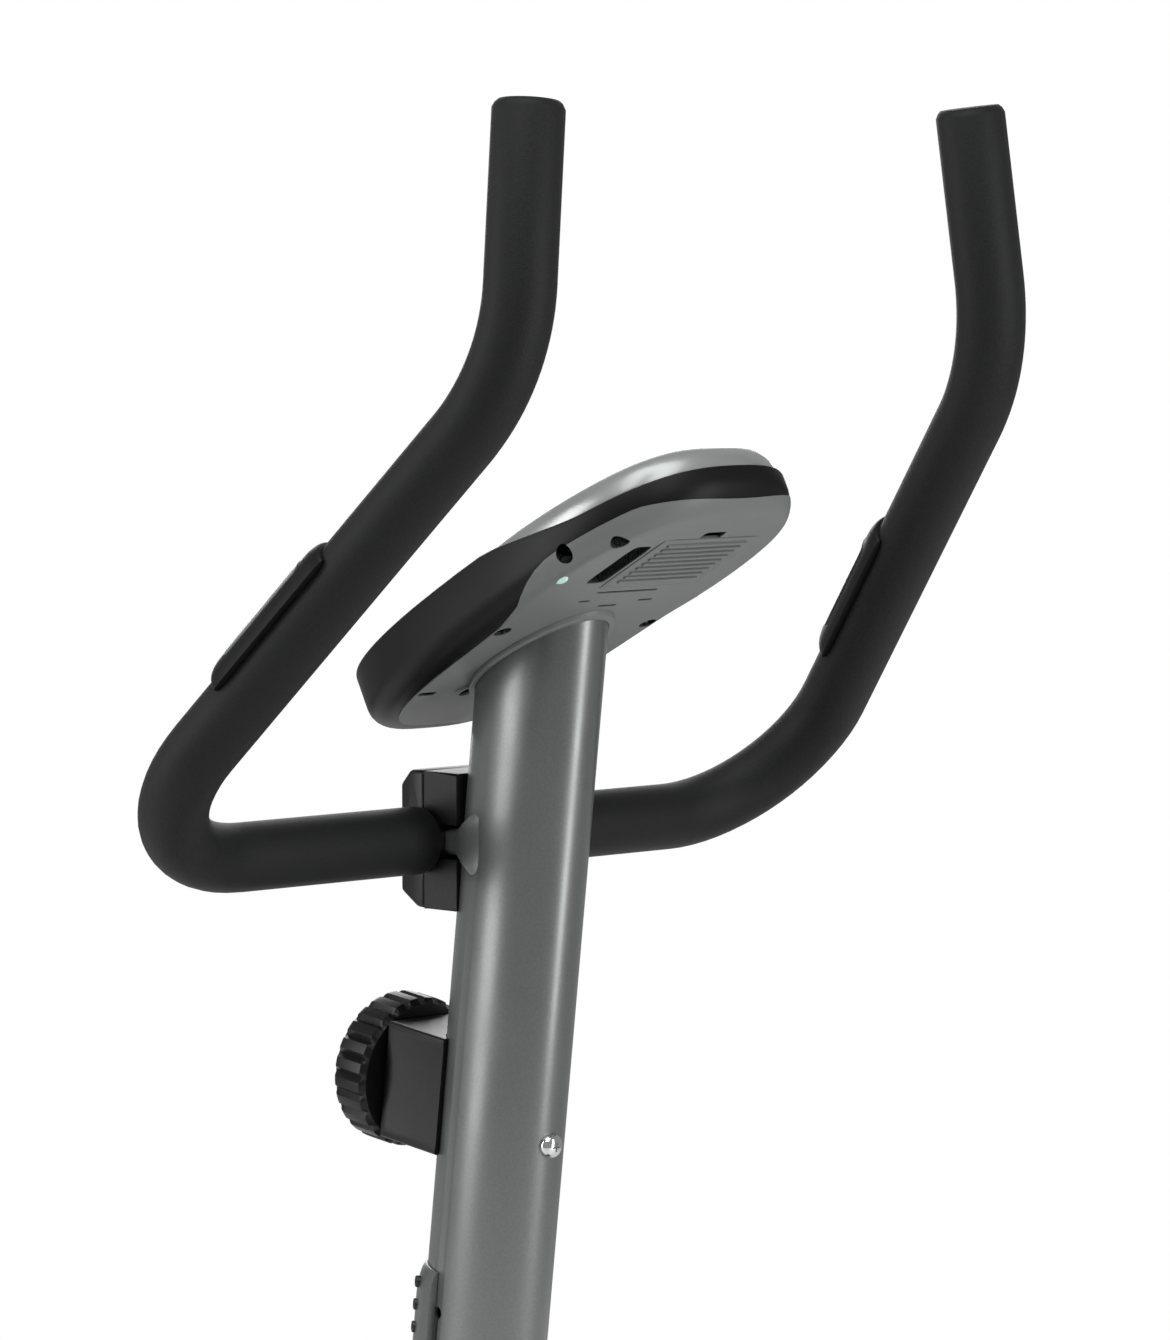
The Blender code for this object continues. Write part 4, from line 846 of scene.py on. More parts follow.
for word, height in (("upper", BOLT_HEIGHT), ("lower", -BOLT_HEIGHT)):
    place = rearward(BAR + Vector((0, 0.0160, height)))
    bolt = socket_screw("clamp_socket_bolt_" + word, 0.0068, 0.0062, place)
    dress(bolt, ZINC, "frame", ["clamp_bolt_" + word])
print("clamp ready")

# %% [markdown]
# ## Tension knob
# The knob is a glass-filled nylon moulding with a ribbed rim, on a base that is screwed through
# the mast. Its outline is a circle whose radius dips between ribs, and it is carried back through
# a few loops, with rounded rims. The front face is dished, and a pointer ridge marks its turn.

# %% Knob
KNOB_RIBS = 24
KNOB_START = MAST_HALF_Y + 0.027 + 0.001
KNOB = axes(MAST_POINT, X_AXIS, -MAST_UP, MAST_REAR)


def knob_loop(radius, z, depth):
    """A ribbed circle: flat-topped ribs with narrow rounded grooves between them."""
    groove = lambda turn: max(0.0, math.cos(turn * KNOB_RIBS)) ** 1.6
    return wavy_loop(KNOB_RIBS * 8, KNOB_START + z, lambda turn: radius - depth * groove(turn))


knob = lofted("ribbed_knob", [knob_loop(*station) for station in (
    (0.0330, 0, 0), (0.0352, 0.0004, 0), (0.0362, 0.0016, 0.0008), (0.0378, 0.0030, 0.0022),
    (0.0380, 0.0046, 0.0026), (0.0380, 0.0185, 0.0026), (0.0377, 0.0205, 0.0024), (0.0366, 0.0222, 0.0012),
    (0.0350, 0.0232, 0), (0.0325, 0.0236, 0), (0.0300, 0.0230, 0), (0.0285, 0.0214, 0),
    (0.0240, 0.0206, 0), (0.0120, 0.0203, 0),
)])
join(knob, rod("knob_hub", 0.0076, KNOB_START - 0.0120, KNOB_START + 0.002, 40))
dress(put(knob, KNOB), BLACK_PLASTIC, "tension_knob", ["tension_knob"], 32)

pointer = block("knob_pointer", (-0.0022, -0.0265, 0.0190), (0.0022, -0.0080, 0.0226))
round_edges(pointer, 0.0009)
dress(put(pointer, KNOB @ shift(z=KNOB_START)), SILVER, "tension_knob")

# %% Knob base and screw
knob_base = centred_block("knob_base", 0.026, 0.030, 0.0, MAST_HALF_Y + 0.027)
edit(knob_base)
pick(knob_base, "faces", lambda middle, normal: abs(normal.x) > 0.9)
bpy.ops.mesh.inset(thickness=0.0055, depth=-0.0009, use_individual=True)
leave_edit()
round_edges(knob_base, 0.0028, 3, 60)
put(knob_base, KNOB)
cut(knob_base, mast_bar("mast_space", 0.0003, 0.70, 0.95))
cut(knob_base, centred_block("before", 0.1, 0.1, -0.1, 0.020), KNOB)
drill(knob_base, 0.0083, MAST_HALF_Y + 0.013, 0.08, KNOB, 40)
dress(knob_base, BLACK_PLASTIC, "frame", ["tension_knob_base"], 32)

screw = turned("knob_base_screw_head", [(radius, -MAST_HALF_Y + z) for radius, z in (
    (0, 0.0010), (0.0062, 0.0010), (0.0062, -0.0004), (0.0059, -0.0020), (0.0050, -0.0033),
    (0.0034, -0.0042), (0.0015, -0.0046), (0, -0.0047),
)], 48)
for angle in (0, math.pi / 2):
    arm = centred_block("cross_recess", 0.0022, 0.00045, -MAST_HALF_Y - 0.01, -MAST_HALF_Y - 0.0030)
    cut(screw, arm, Matrix.Rotation(angle, 4, "Z"))
put(screw, axes(MAST_POINT - MAST_UP * 0.014, X_AXIS, -MAST_UP, MAST_REAR))
dress(screw, CHROME, "frame", ["knob_base_screw"], 35)
print("knob and base ready")

# %% [markdown]
# ## Console
# The case is one black tray under a domed silver bezel, and a grey cover closes its underside.
# Seen from above it is a superellipse, wider at the far end. The tray's wall curves in below the
# rim like a quarter of an ellipse. The cover lies on that curve: it starts close under the rim at
# the door and far down near the rider, so the black wall widens towards the rider. The tray's rim
# also climbs towards the rider, where it stands in front of the silver dome.

# %% Console shape
CONSOLE_HALF_X, CONSOLE_HALF_Y, CONSOLE_SIDES = 0.066, 0.134, 96
RIM_Z, RIM_CLIMB, WALL_TOP_Z = 0.0020, 0.0110, -0.0050


def console_rim(inset=0.0):
    return oval(CONSOLE_HALF_X - inset, CONSOLE_HALF_Y - inset, CONSOLE_SIDES, 2.7, 0.16)


def toward_rider(y, start, end):
    """Grows smoothly from 0 to 1 between two shares of the console's length."""
    share = ((y / CONSOLE_HALF_Y + 1) / 2 - start) / (end - start)
    share = min(1.0, max(0.0, share))
    return share**2 * (3 - 2 * share)


def rim_loop(inset, drop=0.0):
    """The tray's top edge, which climbs towards the rider."""
    return [(x, y, RIM_Z + RIM_CLIMB * toward_rider(y, 0.16, 0.46) - drop) for x, y in console_rim(inset)]


def console_plate(inset=0.0):
    outline = oval(0.056 - inset, 0.116 - inset, CONSOLE_SIDES, 3.6, 0.10)
    return [(x * (1 - 0.09 * toward_rider(y, 0.30, 0.60)), y - 0.003) for x, y in outline]


def console_wall(drop, proud=0.0):
    """The wall's loop at each point's own share of the way from the rim, 0, to the plate, 1."""
    loop = []
    for (rim_x, rim_y), (plate_x, plate_y), share in zip(console_rim(), console_plate(), drop):
        turn = share * math.pi / 2
        inward, down = 1 - math.cos(turn), math.sin(turn)
        out = Vector((rim_x - plate_x, rim_y - plate_y)).normalized() * proud * math.cos(turn)
        x = rim_x + (plate_x - rim_x) * inward + out.x
        y = rim_y + (plate_y - rim_y) * inward + out.y
        loop.append((x, y, WALL_TOP_Z + (PLATE_Z - WALL_TOP_Z) * down - proud * down))
    return loop


def cover_start(x, y):
    """Where the grey cover begins on the wall: under the rim beside the door, low at both ends."""
    far_end = 0.34 * max(0.0, 1 - (x / 0.050) ** 2) * (1 - toward_rider(y, 0.05, 0.20))
    return min(0.14 + far_end + 0.82 * toward_rider(y, 0.26, 0.52), 0.96)


def on_console(x=0.0, y=0.0):
    return CONSOLE @ shift(x, y)


# %% Tray
DOOR_HALF_X, DOOR_HALF_Y = 0.032, 0.026
AT_DOOR = on_console(0.008, -0.070)
tray_loops = [
    at_height(console_rim(0.0150), 0), rim_loop(0.0140), rim_loop(0.0012), rim_loop(0.0003, 0.0006),
    rim_loop(0, 0.0016),
]
tray_loops += [console_wall([step / 14] * CONSOLE_SIDES) for step in range(15)]
tray = put(lofted("console_tray", tray_loops + [at_height(console_plate(0.004), PLATE_Z)]), CONSOLE)
cut(tray, centred_block("door_pocket", DOOR_HALF_X, DOOR_HALF_Y, -0.03, PLATE_Z + 0.0016), AT_DOOR)
print("tray faces", len(tray.data.polygons))

# %% [markdown]
# The **cover** is a thin shell over the tray's underside, with recessed screw holes, a slot beside
# the battery door and a shallow socket round the mast. Holes are cut through cover and tray, so
# they are truly deep and dark.

# %% Underside cover
starts = [cover_start(x, y) for x, y in console_rim()]
cover_loops = [console_wall(starts, -0.0015), console_wall(starts, 0.0004)]
cover_loops += [console_wall([s + (1 - s) * step / 8 for s in starts], 0.0005) for step in range(1, 9)]
cover_loops.append(at_height(console_plate(0.004), PLATE_Z - 0.0005))
cover = put(lofted("console_cover", cover_loops), CONSOLE)
door_hole = extruded("door_hole", oval(DOOR_HALF_X + 0.0004, DOOR_HALF_Y + 0.0004, 64, 12), -0.03, 0)
cut(cover, door_hole, AT_DOOR)
SCREW_HOLE = 0.0046
SCREW_PLACES = (
    (-0.0510, -0.0940), (0.0490, 0.0030), (-0.0480, 0.0020), (0.0465, 0.0420), (-0.0150, 0.0720),
    (0.0200, 0.0720),
)
# the slot beside the door, the finger notch at its far edge and a short slot near the rider
DARK_SLOTS = (
    (-0.0320, -0.0700, 0.0062, 0.0200), (0.0050, -0.0980, 0.0070, 0.0045), (-0.0400, 0.0736, 0.0055, 0.0020)
)
GROOVES = ((0, -0.0385, 0.020), (-0.0205, -0.0290, 0.0035), (0.0215, -0.0270, 0.0045), (0, -0.0225, 0.006))


def leaning(point, out_x, out_z):
    """Axes on the console whose local Z leans out sideways."""
    out = Vector((out_x, 0, out_z)).normalized()
    return CONSOLE @ axes(Vector(point), Y_AXIS.cross(out), Y_AXIS, out)


for piece in (tray, cover):
    for x, y in SCREW_PLACES:
        drill(piece, SCREW_HOLE, -0.03, PLATE_Z + 0.008, on_console(x, y), 24)
    # one more screw goes in through the wall, square to it
    drill(piece, SCREW_HOLE, -0.008, 0.03, leaning((-0.0610, -0.0692, -0.0095), -0.82, -0.57), 24)
    for x, y, half_x, half_y in DARK_SLOTS:
        cut(piece, extruded("slot", oval(half_x, half_y, 48, 6), -0.03, PLATE_Z + 0.006), on_console(x, y))
for x, y, half in GROOVES:
    cut(cover, extruded("groove", oval(half, 0.0011, 32, 6), -0.03, PLATE_Z + 0.0004), on_console(x, y))
dress(tray, GLOSS_BLACK, "frame", ["console_back"], 30)
dress(cover, UNDER_PLASTIC, "frame", (), 30)

# raised rings round the two rearmost screws
for word, x, radius in (("left", 0.0200, 0.0034), ("right", -0.0150, 0.0040)):
    steps = ((0, 0), (0.0022, 0), (0.0018, 0.0011), (0.0004, 0.0011), (0, 0))
    boss = turned("screw_ring_" + word, [(radius + width, z) for width, z in steps], 32)
    put(boss, CONSOLE @ axes(Vector((x, 0.072, PLATE_Z - 0.0004)), X_AXIS, -Y_AXIS, -Z_AXIS))
    dress(boss, UNDER_PLASTIC, "frame")
print("cover faces", len(cover.data.polygons))

# %% [markdown]
# The **battery door** is ribbed for a finger's grip. The ribs are shallow ridges across it, and it
# slides straight off its seat. Beside the case's edge sits a small pale green sensor jack with a
# faint painted glow, and a low socket rings the mast.

# %% Door, jack and socket
door = centred_block(
    "battery_door_panel", DOOR_HALF_X - 0.0004, DOOR_HALF_Y - 0.0004, PLATE_Z - 0.0010, PLATE_Z + 0.0013
)
round_edges(door, 0.0005, 2)
for count in range(9):
    ridge = centred_block("ridge", 0.026, 0.0010, PLATE_Z - 0.0021, PLATE_Z)
    round_edges(ridge, 0.0005, 2)
    join(door, ridge, shift(y=-0.0205 + count * 0.0048))
dress(put(door, AT_DOOR), UNDER_PLASTIC, "battery_door", ["battery_door"], 30)

profile = [(0, -0.003), (0.0046, -0.003), (0.0046, 0.0022), (0.0039, 0.0030), (0, 0.0033)]
jack = turned("sensor_jack", profile, 32)
# the jack takes the pale green plastic with its painted glow
dress(put(jack, leaning((-0.0575, -0.0560, -0.0150), -0.55, -0.835)), GREEN_PAINTED_GLOW, "frame")

socket = mast_bar("mast_socket", 0.0030, 0.99, 1.12)
trim(socket, mast_top - CONSOLE_OUT * 0.0002, CONSOLE_OUT, clear_outer=True)
trim(socket, mast_top - CONSOLE_OUT * 0.0032, CONSOLE_OUT, clear_inner=True)
round_edges(socket, 0.0008, 3, 50)
cut(socket, mast_bar("mast_space", 0.0002, 0.95, 1.15))
dress(socket, UNDER_PLASTIC, "frame", (), 30)
print("door, jack and socket ready")

# %% [markdown]
# The **bezel** is sprayed silver. Its dome is lofted through shrinking loops of the rim. It holds
# a tinted window over the display, and one round button that clicks 1.5 mm.

# %% Bezel, window and button
TOP = 0.0185
BEZEL_STATIONS = (
    (0.0080, 0.0006), (0.0022, 0.0006), (0.0022, 0.0030), (0.0030, 0.0080), (0.0050, 0.0125),
    (0.0090, 0.0158), (0.0135, 0.0178), (0.0180, TOP),
)
AT_LENS, AT_GLASS, AT_BUTTON = on_console(y=-0.034), on_console(y=-0.038), on_console(y=0.062)


def bezel_loop(inset, z):
    """The dome's outline, which draws in from the rim towards the rider."""
    loop = []
    for (x, y), (inner_x, inner_y) in zip(console_rim(inset), console_rim(inset + 0.004)):
        share = toward_rider(y, 0.35, 0.60)
        loop.append((x + (inner_x - x) * share, y + (inner_y - y) * share, z))
    return loop


bezel = put(lofted("console_bezel", [bezel_loop(inset, z) for inset, z in BEZEL_STATIONS]), CONSOLE)
cut(bezel, extruded("lens_space", oval(0.0423, 0.0433, 96, 7), TOP - 0.0030, 0.05), AT_LENS)
drill(bezel, 0.0093, 0.004, 0.05, AT_BUTTON)
drill(bezel, 0.0150, TOP - 0.0012, 0.05, AT_BUTTON, 64)
round_edges(bezel, 0.0006, 2, 50)
dress(bezel, SILVER, "frame", ["console_front"], 30)

lens = put(extruded("display_window", oval(0.0419, 0.0429, 96, 7), TOP - 0.0026, TOP + 0.0001), AT_LENS)
round_edges(lens, 0.0005, 2, 50)
dress(lens, GLOSS_BLACK, "frame", ["console_lens"])
glass = extruded("display_glass", oval(0.0300, 0.0240, 64, 9), TOP - 0.0008, TOP + 0.00035)
dress(put(glass, AT_GLASS), DISPLAY, "frame")

button = turned("round_button", [
    (0, 0.0068), (0.0089, 0.0068), (0.0089, TOP), (0.0084, TOP + 0.0010), (0.0074, TOP + 0.0016),
    (0.0058, TOP + 0.0015), (0.0034, TOP + 0.0012), (0, TOP + 0.0011),
])
dress(put(button, AT_BUTTON), COVER_PLASTIC, "console_button", ["console_button"], 30)
print("console pieces ready")

# %% [markdown]
# ## Base
# Two round steel stabilizers carry a square beam. A mitred edge would show how thick the tube is,
# so each tube is a bar with rounded edges that is hollowed, and plugs close the beam's ends.

# %% Stabilizers and beam
STABILIZER_Z, STABILIZER_RADIUS, TUBE_WALL = 0.040, 0.025, 0.002
FEET = (("front", -0.415, -1), ("rear", 0.426, 1))
BEAM_HALF_SIDE, BEAM_MIDDLE, BEAM_HALF = 0.025, 0.0872, 0.445
BEAM_TOP = BEAM_MIDDLE + BEAM_HALF_SIDE


def beam_bar(name, inset, low, high):
    return extruded(name, oval(BEAM_HALF_SIDE - inset, BEAM_HALF_SIDE - inset, 64, 9), low, high)


for word, y, way in FEET:
    place = across((0, y, STABILIZER_Z))
    tube = put(rod(word + "_stabilizer_tube", STABILIZER_RADIUS, -0.234, 0.234, 64), place)
    drill(tube, STABILIZER_RADIUS - TUBE_WALL, -0.3, 0.3, place, 64)
    round_edges(tube, 0.0004, 2, 50)
    dress(tube, FRAME_PAINT, "frame", [word + "_stabilizer"], 40)

ALONG_BEAM = axes((0, 0, BEAM_MIDDLE), X_AXIS, Z_AXIS, -Y_AXIS)
beam = put(beam_bar("base_beam_tube", 0, -BEAM_HALF, BEAM_HALF), ALONG_BEAM)
cut(beam, beam_bar("hollow", TUBE_WALL, -0.5, 0.5), ALONG_BEAM)
for word, y, way in FEET:
    drill(beam, STABILIZER_RADIUS + 0.0002, -0.1, 0.1, across((0, y, STABILIZER_Z)), 64)
dress(beam, FRAME_PAINT, "frame", ["base_beam"], 40)

for word, y, way in FEET:
    plug = beam_bar("beam_plug_" + word, 0.0004, 0, 0.0035)
    round_edges(plug, 0.0015, 3, 50)
    join(plug, beam_bar("stem", 0.0024, -0.012, 0.001))
    put(plug, axes((0, way * (BEAM_HALF + 0.0001), BEAM_MIDDLE), X_AXIS * -way, Z_AXIS, Y_AXIS * way))
    dress(plug, BLACK_PLASTIC, "frame", (), 30)

# carriage bolts that hold the beam down on the stabilizers
for word, y, way in FEET:
    for side, name in SIDES:
        profile = [(0, 0), (0.0085, 0), (0.0080, 0.0016), (0.0062, 0.0034), (0.0034, 0.0046), (0, 0.0050)]
        dome = turned(f"carriage_bolt_{word}_{name}", profile, 40)
        put(dome, shift(side * 0.0130, y - way * 0.0060, BEAM_TOP - 0.0001))
        dress(dome, ZINC, "frame")
print("beam faces", len(beam.data.polygons))

# %% [markdown]
# **End caps** are hollow mouldings pushed over the tube ends, with a ribbed foot. The front pair
# carries transport wheels outboard: tip the bike forwards, and it rolls.

# %% End caps and wheels
CAP_START, CAP_END, CAP_HALF_DEPTH, CAP_HEIGHT = 0.200, 0.238, 0.033, 0.072
WHEEL = joint_place("left_wheel_spin")


def end_cap(word, y, side, name):
    inner, outer = sorted((side * CAP_START, side * CAP_END))
    front, rear = y - CAP_HALF_DEPTH, y + CAP_HALF_DEPTH
    body = block(f"{word}_end_cap_{name}", (inner, front, 0), (outer, rear, CAP_HEIGHT))
    edit(body)
    pick(body, "edges", lambda middle, way: abs(way.y) < 0.001 and way.length > 0.01 and middle.z > 0.001)
    bpy.ops.mesh.bevel(offset=0.0150, segments=6, profile=0.5, clamp_overlap=True)
    leave_edit()
    round_edges(body, 0.0016, 3, 35)
    drill(body, STABILIZER_RADIUS + 0.0003, *sorted((0, side * 0.2343)), across((0, y, STABILIZER_Z)), 64)
    for count in range(5):
        tread = centred_block("tread", 0.0012, 0.026, -0.001, 0.0012)
        cut(body, tread, shift(side * (CAP_START + 0.007 + count * 0.006), y))
    if word == "front":
        pin = rod("wheel_pin", 0.0065, *sorted((side * (CAP_END - 0.004), side * (CAP_END + 0.0230))), 32)
        join(body, pin, across((0, WHEEL.y, WHEEL.z)))
    dress(body, COVER_PLASTIC, "frame", [f"{word}_cap_{name}"], 30)


for word, y, way in FEET:
    for side, name in SIDES:
        end_cap(word, y, side, name)

flank = [
    (0.0068, -0.010), (0.0120, -0.010), (0.0130, -0.0078), (0.0205, -0.0078), (0.0215, -0.010),
    (0.0245, -0.010), (0.0262, -0.0086), (0.0270, -0.0060), (0.0270, -0.0012),
]
profile = flank + [(0.0263, 0)] + [(radius, -z) for radius, z in reversed(flank)] + flank[:1]
for side, name in SIDES:
    wheel = put(turned("roller_" + name, profile), across((side * 0.2495, WHEEL.y, WHEEL.z)))
    dress(wheel, RUBBER, "transport_wheel_" + name, ["transport_wheel_" + name], 30)
    disc = [(0, 0), (0.0088, 0), (0.0088, 0.0012), (0.0060, 0.0022), (0, 0.0024)]
    clip = turned("wheel_clip_" + name, disc, 32)
    put(clip, outward((side * 0.2598, WHEEL.y, WHEEL.z), side))
    dress(clip, BLACK_PLASTIC, "frame")
print("base ready")

# %% [markdown]
# ## Drive cover
# Two dished halves meet on the bike's middle plane. The side view is the outline of a string
# round three discs: the flywheel's, the cranks' and the mast's. Each half is lofted from its open
# edge to its face, so wall, corner and face are one skin, and the inside is carved by a smaller loft.

# %% Cover halves
COVER_DISCS = ((-0.300, 0.250, 0.150), (-0.010, 0.262, 0.155), (-0.212, 0.545, 0.052))
COVER_HALF, COVER_WALL, COVER_ROUND = 0.066, 0.0025, 0.018
COVER_SCREWS = (
    (-0.432, 0.250), (-0.300, 0.120), (-0.150, 0.122), (0.060, 0.150), (0.126, 0.262), (0.040, 0.390),
    (-0.150, 0.495), (-0.252, 0.520), (-0.372, 0.362),
)
CRANK_IN_COVER = shift(CRANK.y, CRANK.z)


def cover_axes(side):
    """Local X is the bike's Y, local Y its Z, and local Z points out of that side."""
    return axes((0, 0, 0), Y_AXIS, Z_AXIS, X_AXIS * side)


def cover_loop(inset, z):
    return at_height(hull_of_discs(COVER_DISCS, 144, inset), z)


def cover_skin(growth=0.0):
    """Loops from the joint to the face of a half, shrunk by growth on every wall."""
    loops = [cover_loop(growth, -0.01 if growth else 0.0002), cover_loop(growth, 0.020)]
    for step in range(9):
        turn = math.pi / 2 * step / 8
        inset = growth + COVER_ROUND * (1 - math.cos(turn))
        loops.append(cover_loop(inset, COVER_HALF - growth - COVER_ROUND * (1 - math.sin(turn))))
    return loops + [cover_loop(growth + COVER_ROUND + 0.006, COVER_HALF - growth)]


def housing(side, word):
    half = lofted("drive_cover_" + word, cover_skin())
    cut(half, lofted("inside", cover_skin(COVER_WALL)))
    # a shallow panel on the face, a raised ring round the crank, and vents
    cut(half, lofted("panel", [cover_loop(0.034, COVER_HALF - 0.0016), cover_loop(0.030, COVER_HALF + 0.01)]))
    ring = turned("ring", [
        (0.030, 0.050), (0.052, 0.050), (0.052, COVER_HALF - 0.0016), (0.046, COVER_HALF - 0.0002),
        (0.034, COVER_HALF - 0.0002), (0.030, COVER_HALF - 0.003), (0.030, 0.050),
    ], 96)
    join(half, ring, CRANK_IN_COVER)
    drill(half, 0.024, -0.1, 0.1, CRANK_IN_COVER, 64)
    for count in range(7):
        vent = extruded("vent", oval(0.0028, 0.021, 24, 5), COVER_HALF - 0.010, COVER_HALF + 0.01)
        place = shift(-0.352 + 0.017 * count, 0.268 + 0.006 * count)
        cut(half, vent, place @ Matrix.Rotation(math.radians(-24), 4, "Z"))
    put(half, cover_axes(side))
    cut(half, mast_bar("mast_hole", 0.0015, 0.54, 0.72))
    cut(half, centred_block("beam_space", 0.0258, 0.6, 0, BEAM_TOP + 0.0008))
    cut(half, block("brace_space", (-0.0135, 0.08, CRANK.z - 0.016), (0.0135, 0.20, CRANK.z + 0.016)))
    dress(half, COVER_PLASTIC, "frame", ["housing_" + word], 28)
    print(half.name, "faces", len(half.data.polygons))


for side, word in SIDES:
    housing(side, word)
    for count, (y, z) in enumerate(COVER_SCREWS):
        place = cover_axes(side) @ shift(y, z, COVER_HALF - 0.0004)
        screw = socket_screw(f"cover_screw_{word}_{count + 1}", 0.0042, 0.0014, place)
        dress(screw, FRAME_PAINT, "frame")

# %% [markdown]
# ## Uprights
# The seat tube is round, with a welded boss for the height pin. A plain bush of nylon guides the
# chromed post, whose five holes stand 40 mm apart. Weld beads ring the joints: each is a small
# wavy ring, because a welder lays it in overlapping drops.

# %% Seat tube and bush
POST_RADIUS, POST_BELOW, POST_ABOVE, PIN_DROP, PIN_HOLE = 0.019, 0.220, 0.190, 0.040, 0.0050
seat_top = on_seat_post(0.555)
SEAT = axes(seat_top, X_AXIS, SEAT_REAR, SEAT_UP)
PIN = axes(seat_top - SEAT_UP * PIN_DROP, X_AXIS, -SEAT_UP, SEAT_REAR)

seat_tube = put(rod("seat_tube_round", STABILIZER_RADIUS, -0.60, 0, 72), SEAT)
drill(seat_tube, STABILIZER_RADIUS - TUBE_WALL, -0.7, 0.1, SEAT, 72)
edit(seat_tube)
bpy.ops.mesh.bisect(plane_co=(0, 0, BEAM_TOP + 0.0002), plane_no=(0, 0, 1), use_fill=False, clear_inner=True)
bpy.ops.mesh.select_all(action="DESELECT")
bpy.ops.mesh.select_non_manifold()
bpy.ops.mesh.bridge_edge_loops()
leave_edit()
join(seat_tube, turned("pin_boss", [
    (PIN_HOLE, 0.0235), (0.0120, 0.0235), (0.0120, 0.0380), (0.0112, 0.0390), (PIN_HOLE, 0.0390),
    (PIN_HOLE, 0.0235),
], 48), PIN)
drill(seat_tube, PIN_HOLE, 0.010, 0.1, PIN, 32)
dress(seat_tube, FRAME_PAINT, "frame", ["seat_tube"], 40)

bush = put(turned("post_bush", [
    (0.0193, -0.060), (0.0227, -0.060), (0.0227, 0.0002), (0.0262, 0.0002), (0.0264, 0.0020),
    (0.0256, 0.0040), (0.0236, 0.0055), (0.0205, 0.0060), (0.0193, 0.0054), (0.0193, -0.060),
], 72), SEAT)
drill(bush, PIN_HOLE, 0.010, 0.1, PIN, 32)
dress(bush, BLACK_PLASTIC, "frame", ["seat_post_bush"], 40)


def weld(name, radius_x, radius_y, place, bead=0.0022):
    """A weld bead round a tube: a ring whose thickness ripples with each drop."""
    drops = round(math.tau * (radius_x + radius_y) / 2 / 0.0035)
    line = [place @ Vector((x, y, 0)) for x, y in oval(radius_x, radius_y, drops * 6)]
    shares = around(drops * 6, lambda turn: 0.88 + 0.12 * abs(math.sin(turn * drops / 2)))
    dress(piped(name, line, bead, 12, shares, closed=True), FRAME_PAINT, "frame", (), 60)


weld("seat_tube_weld", 0.0254, 0.0258, Matrix.Translation(on_seat_post(BEAM_TOP)))
weld("pin_boss_weld", 0.0122, 0.0122, PIN @ shift(z=0.0252), 0.0014)
print("seat tube ready")

# %% Seat post and pin knob
post = rod("chromed_post", POST_RADIUS, -POST_BELOW, POST_ABOVE, 72)
drill(post, POST_RADIUS - TUBE_WALL, -0.4, 0.4, sides=72)
for step in range(-2, 3):
    drill(post, 0.0055, 0.010, 0.030, rearward((0, 0, -PIN_DROP - step * 0.040)), 32)
dress(put(post, SEAT), CHROME, "seat_post", ["seat_post"], 40)

pin_start, knob_start = POST_RADIUS + 0.0006, 0.0393
pin = turned("pin_shaft", [
    (0, pin_start), (0.0040, pin_start), (0.0047, pin_start + 0.0010), (0.0047, knob_start + 0.004),
    (0, knob_start + 0.004),
], 40)
dress(put(pin, PIN), ZINC, "seat_pin")


def star_loop(radius, z, depth):
    return wavy_loop(120, knob_start + z, lambda turn: radius + depth * math.cos(turn * 8))


star = lofted("pin_knob", [star_loop(*station) for station in (
    (0.0095, 0, 0), (0.0118, 0.0004, 0), (0.0122, 0.0060, 0), (0.0128, 0.0100, 0.0002),
    (0.0170, 0.0135, 0.0006), (0.0212, 0.0165, 0.0012), (0.0226, 0.0205, 0.0015), (0.0228, 0.0300, 0.0015),
    (0.0222, 0.0345, 0.0013), (0.0204, 0.0382, 0.0009), (0.0165, 0.0408, 0.0004), (0.0100, 0.0420, 0),
)])
dress(put(star, PIN), BLACK_PLASTIC, "seat_pin", ["seat_pin_knob"], 40)
print("seat post and pin ready")

# %% [markdown]
# ## Saddle
# A pressed pan with two ears hangs on a cross tube at the post's top, and one bolt sets its tilt.
# The cover is vinyl over moulded foam. Cloth with a little pressure inside gives the crowned,
# slightly uneven surface that a stretched cover has. The seam comes after, as a thin piping.

# %% Saddle clamp and pan
AT_PIVOT = across(SADDLE_PIVOT)
collar = [
    (0.0193, -0.026), (0.0230, -0.026), (0.0235, -0.0250), (0.0235, 0.0090), (0.0228, 0.010), (0, 0.010),
    (0, 0.0004), (0.0193, 0.0004), (0.0193, -0.026),
]
clamp = put(turned("saddle_collar", [(radius, POST_ABOVE + z) for radius, z in collar], 72), SEAT)
join(clamp, rod("cross_tube", 0.0150, -0.030, 0.030, 64), AT_PIVOT)
drill(clamp, 0.0043, -0.1, 0.1, AT_PIVOT, 32)
round_edges(clamp, 0.0006, 2, 60)
dress(clamp, FRAME_PAINT, "seat_post", ["saddle_clamp"], 40)

SADDLE_BASE = SADDLE_PIVOT.z + 0.027
PAN_TOP, PIVOT_Y = SADDLE_BASE - 0.0003, SADDLE_PIVOT.y
pan = block("saddle_pan_plate", (-0.038, PIVOT_Y - 0.060, PAN_TOP - 0.004), (0.038, PIVOT_Y + 0.090, PAN_TOP))
edit(pan)
pick(pan, "edges", lambda middle, way: abs(way.z) > 0.003)
bpy.ops.mesh.bevel(offset=0.012, segments=6, profile=0.5)
leave_edit()
discs = [(PIVOT_Y, SADDLE_PIVOT.z, 0.013)] + [(PIVOT_Y + y, PAN_TOP - 0.003, 0.003) for y in (-0.018, 0.018)]
for side, word in SIDES:
    ear = extruded("ear", hull_of_discs(discs, 64), *sorted((side * 0.0305, side * 0.0345)))
    join(pan, ear, across((0, 0, 0)))
drill(pan, 0.0043, -0.1, 0.1, AT_PIVOT, 32)
dress(pan, FRAME_PAINT, "saddle", ["saddle_pan"], 40)

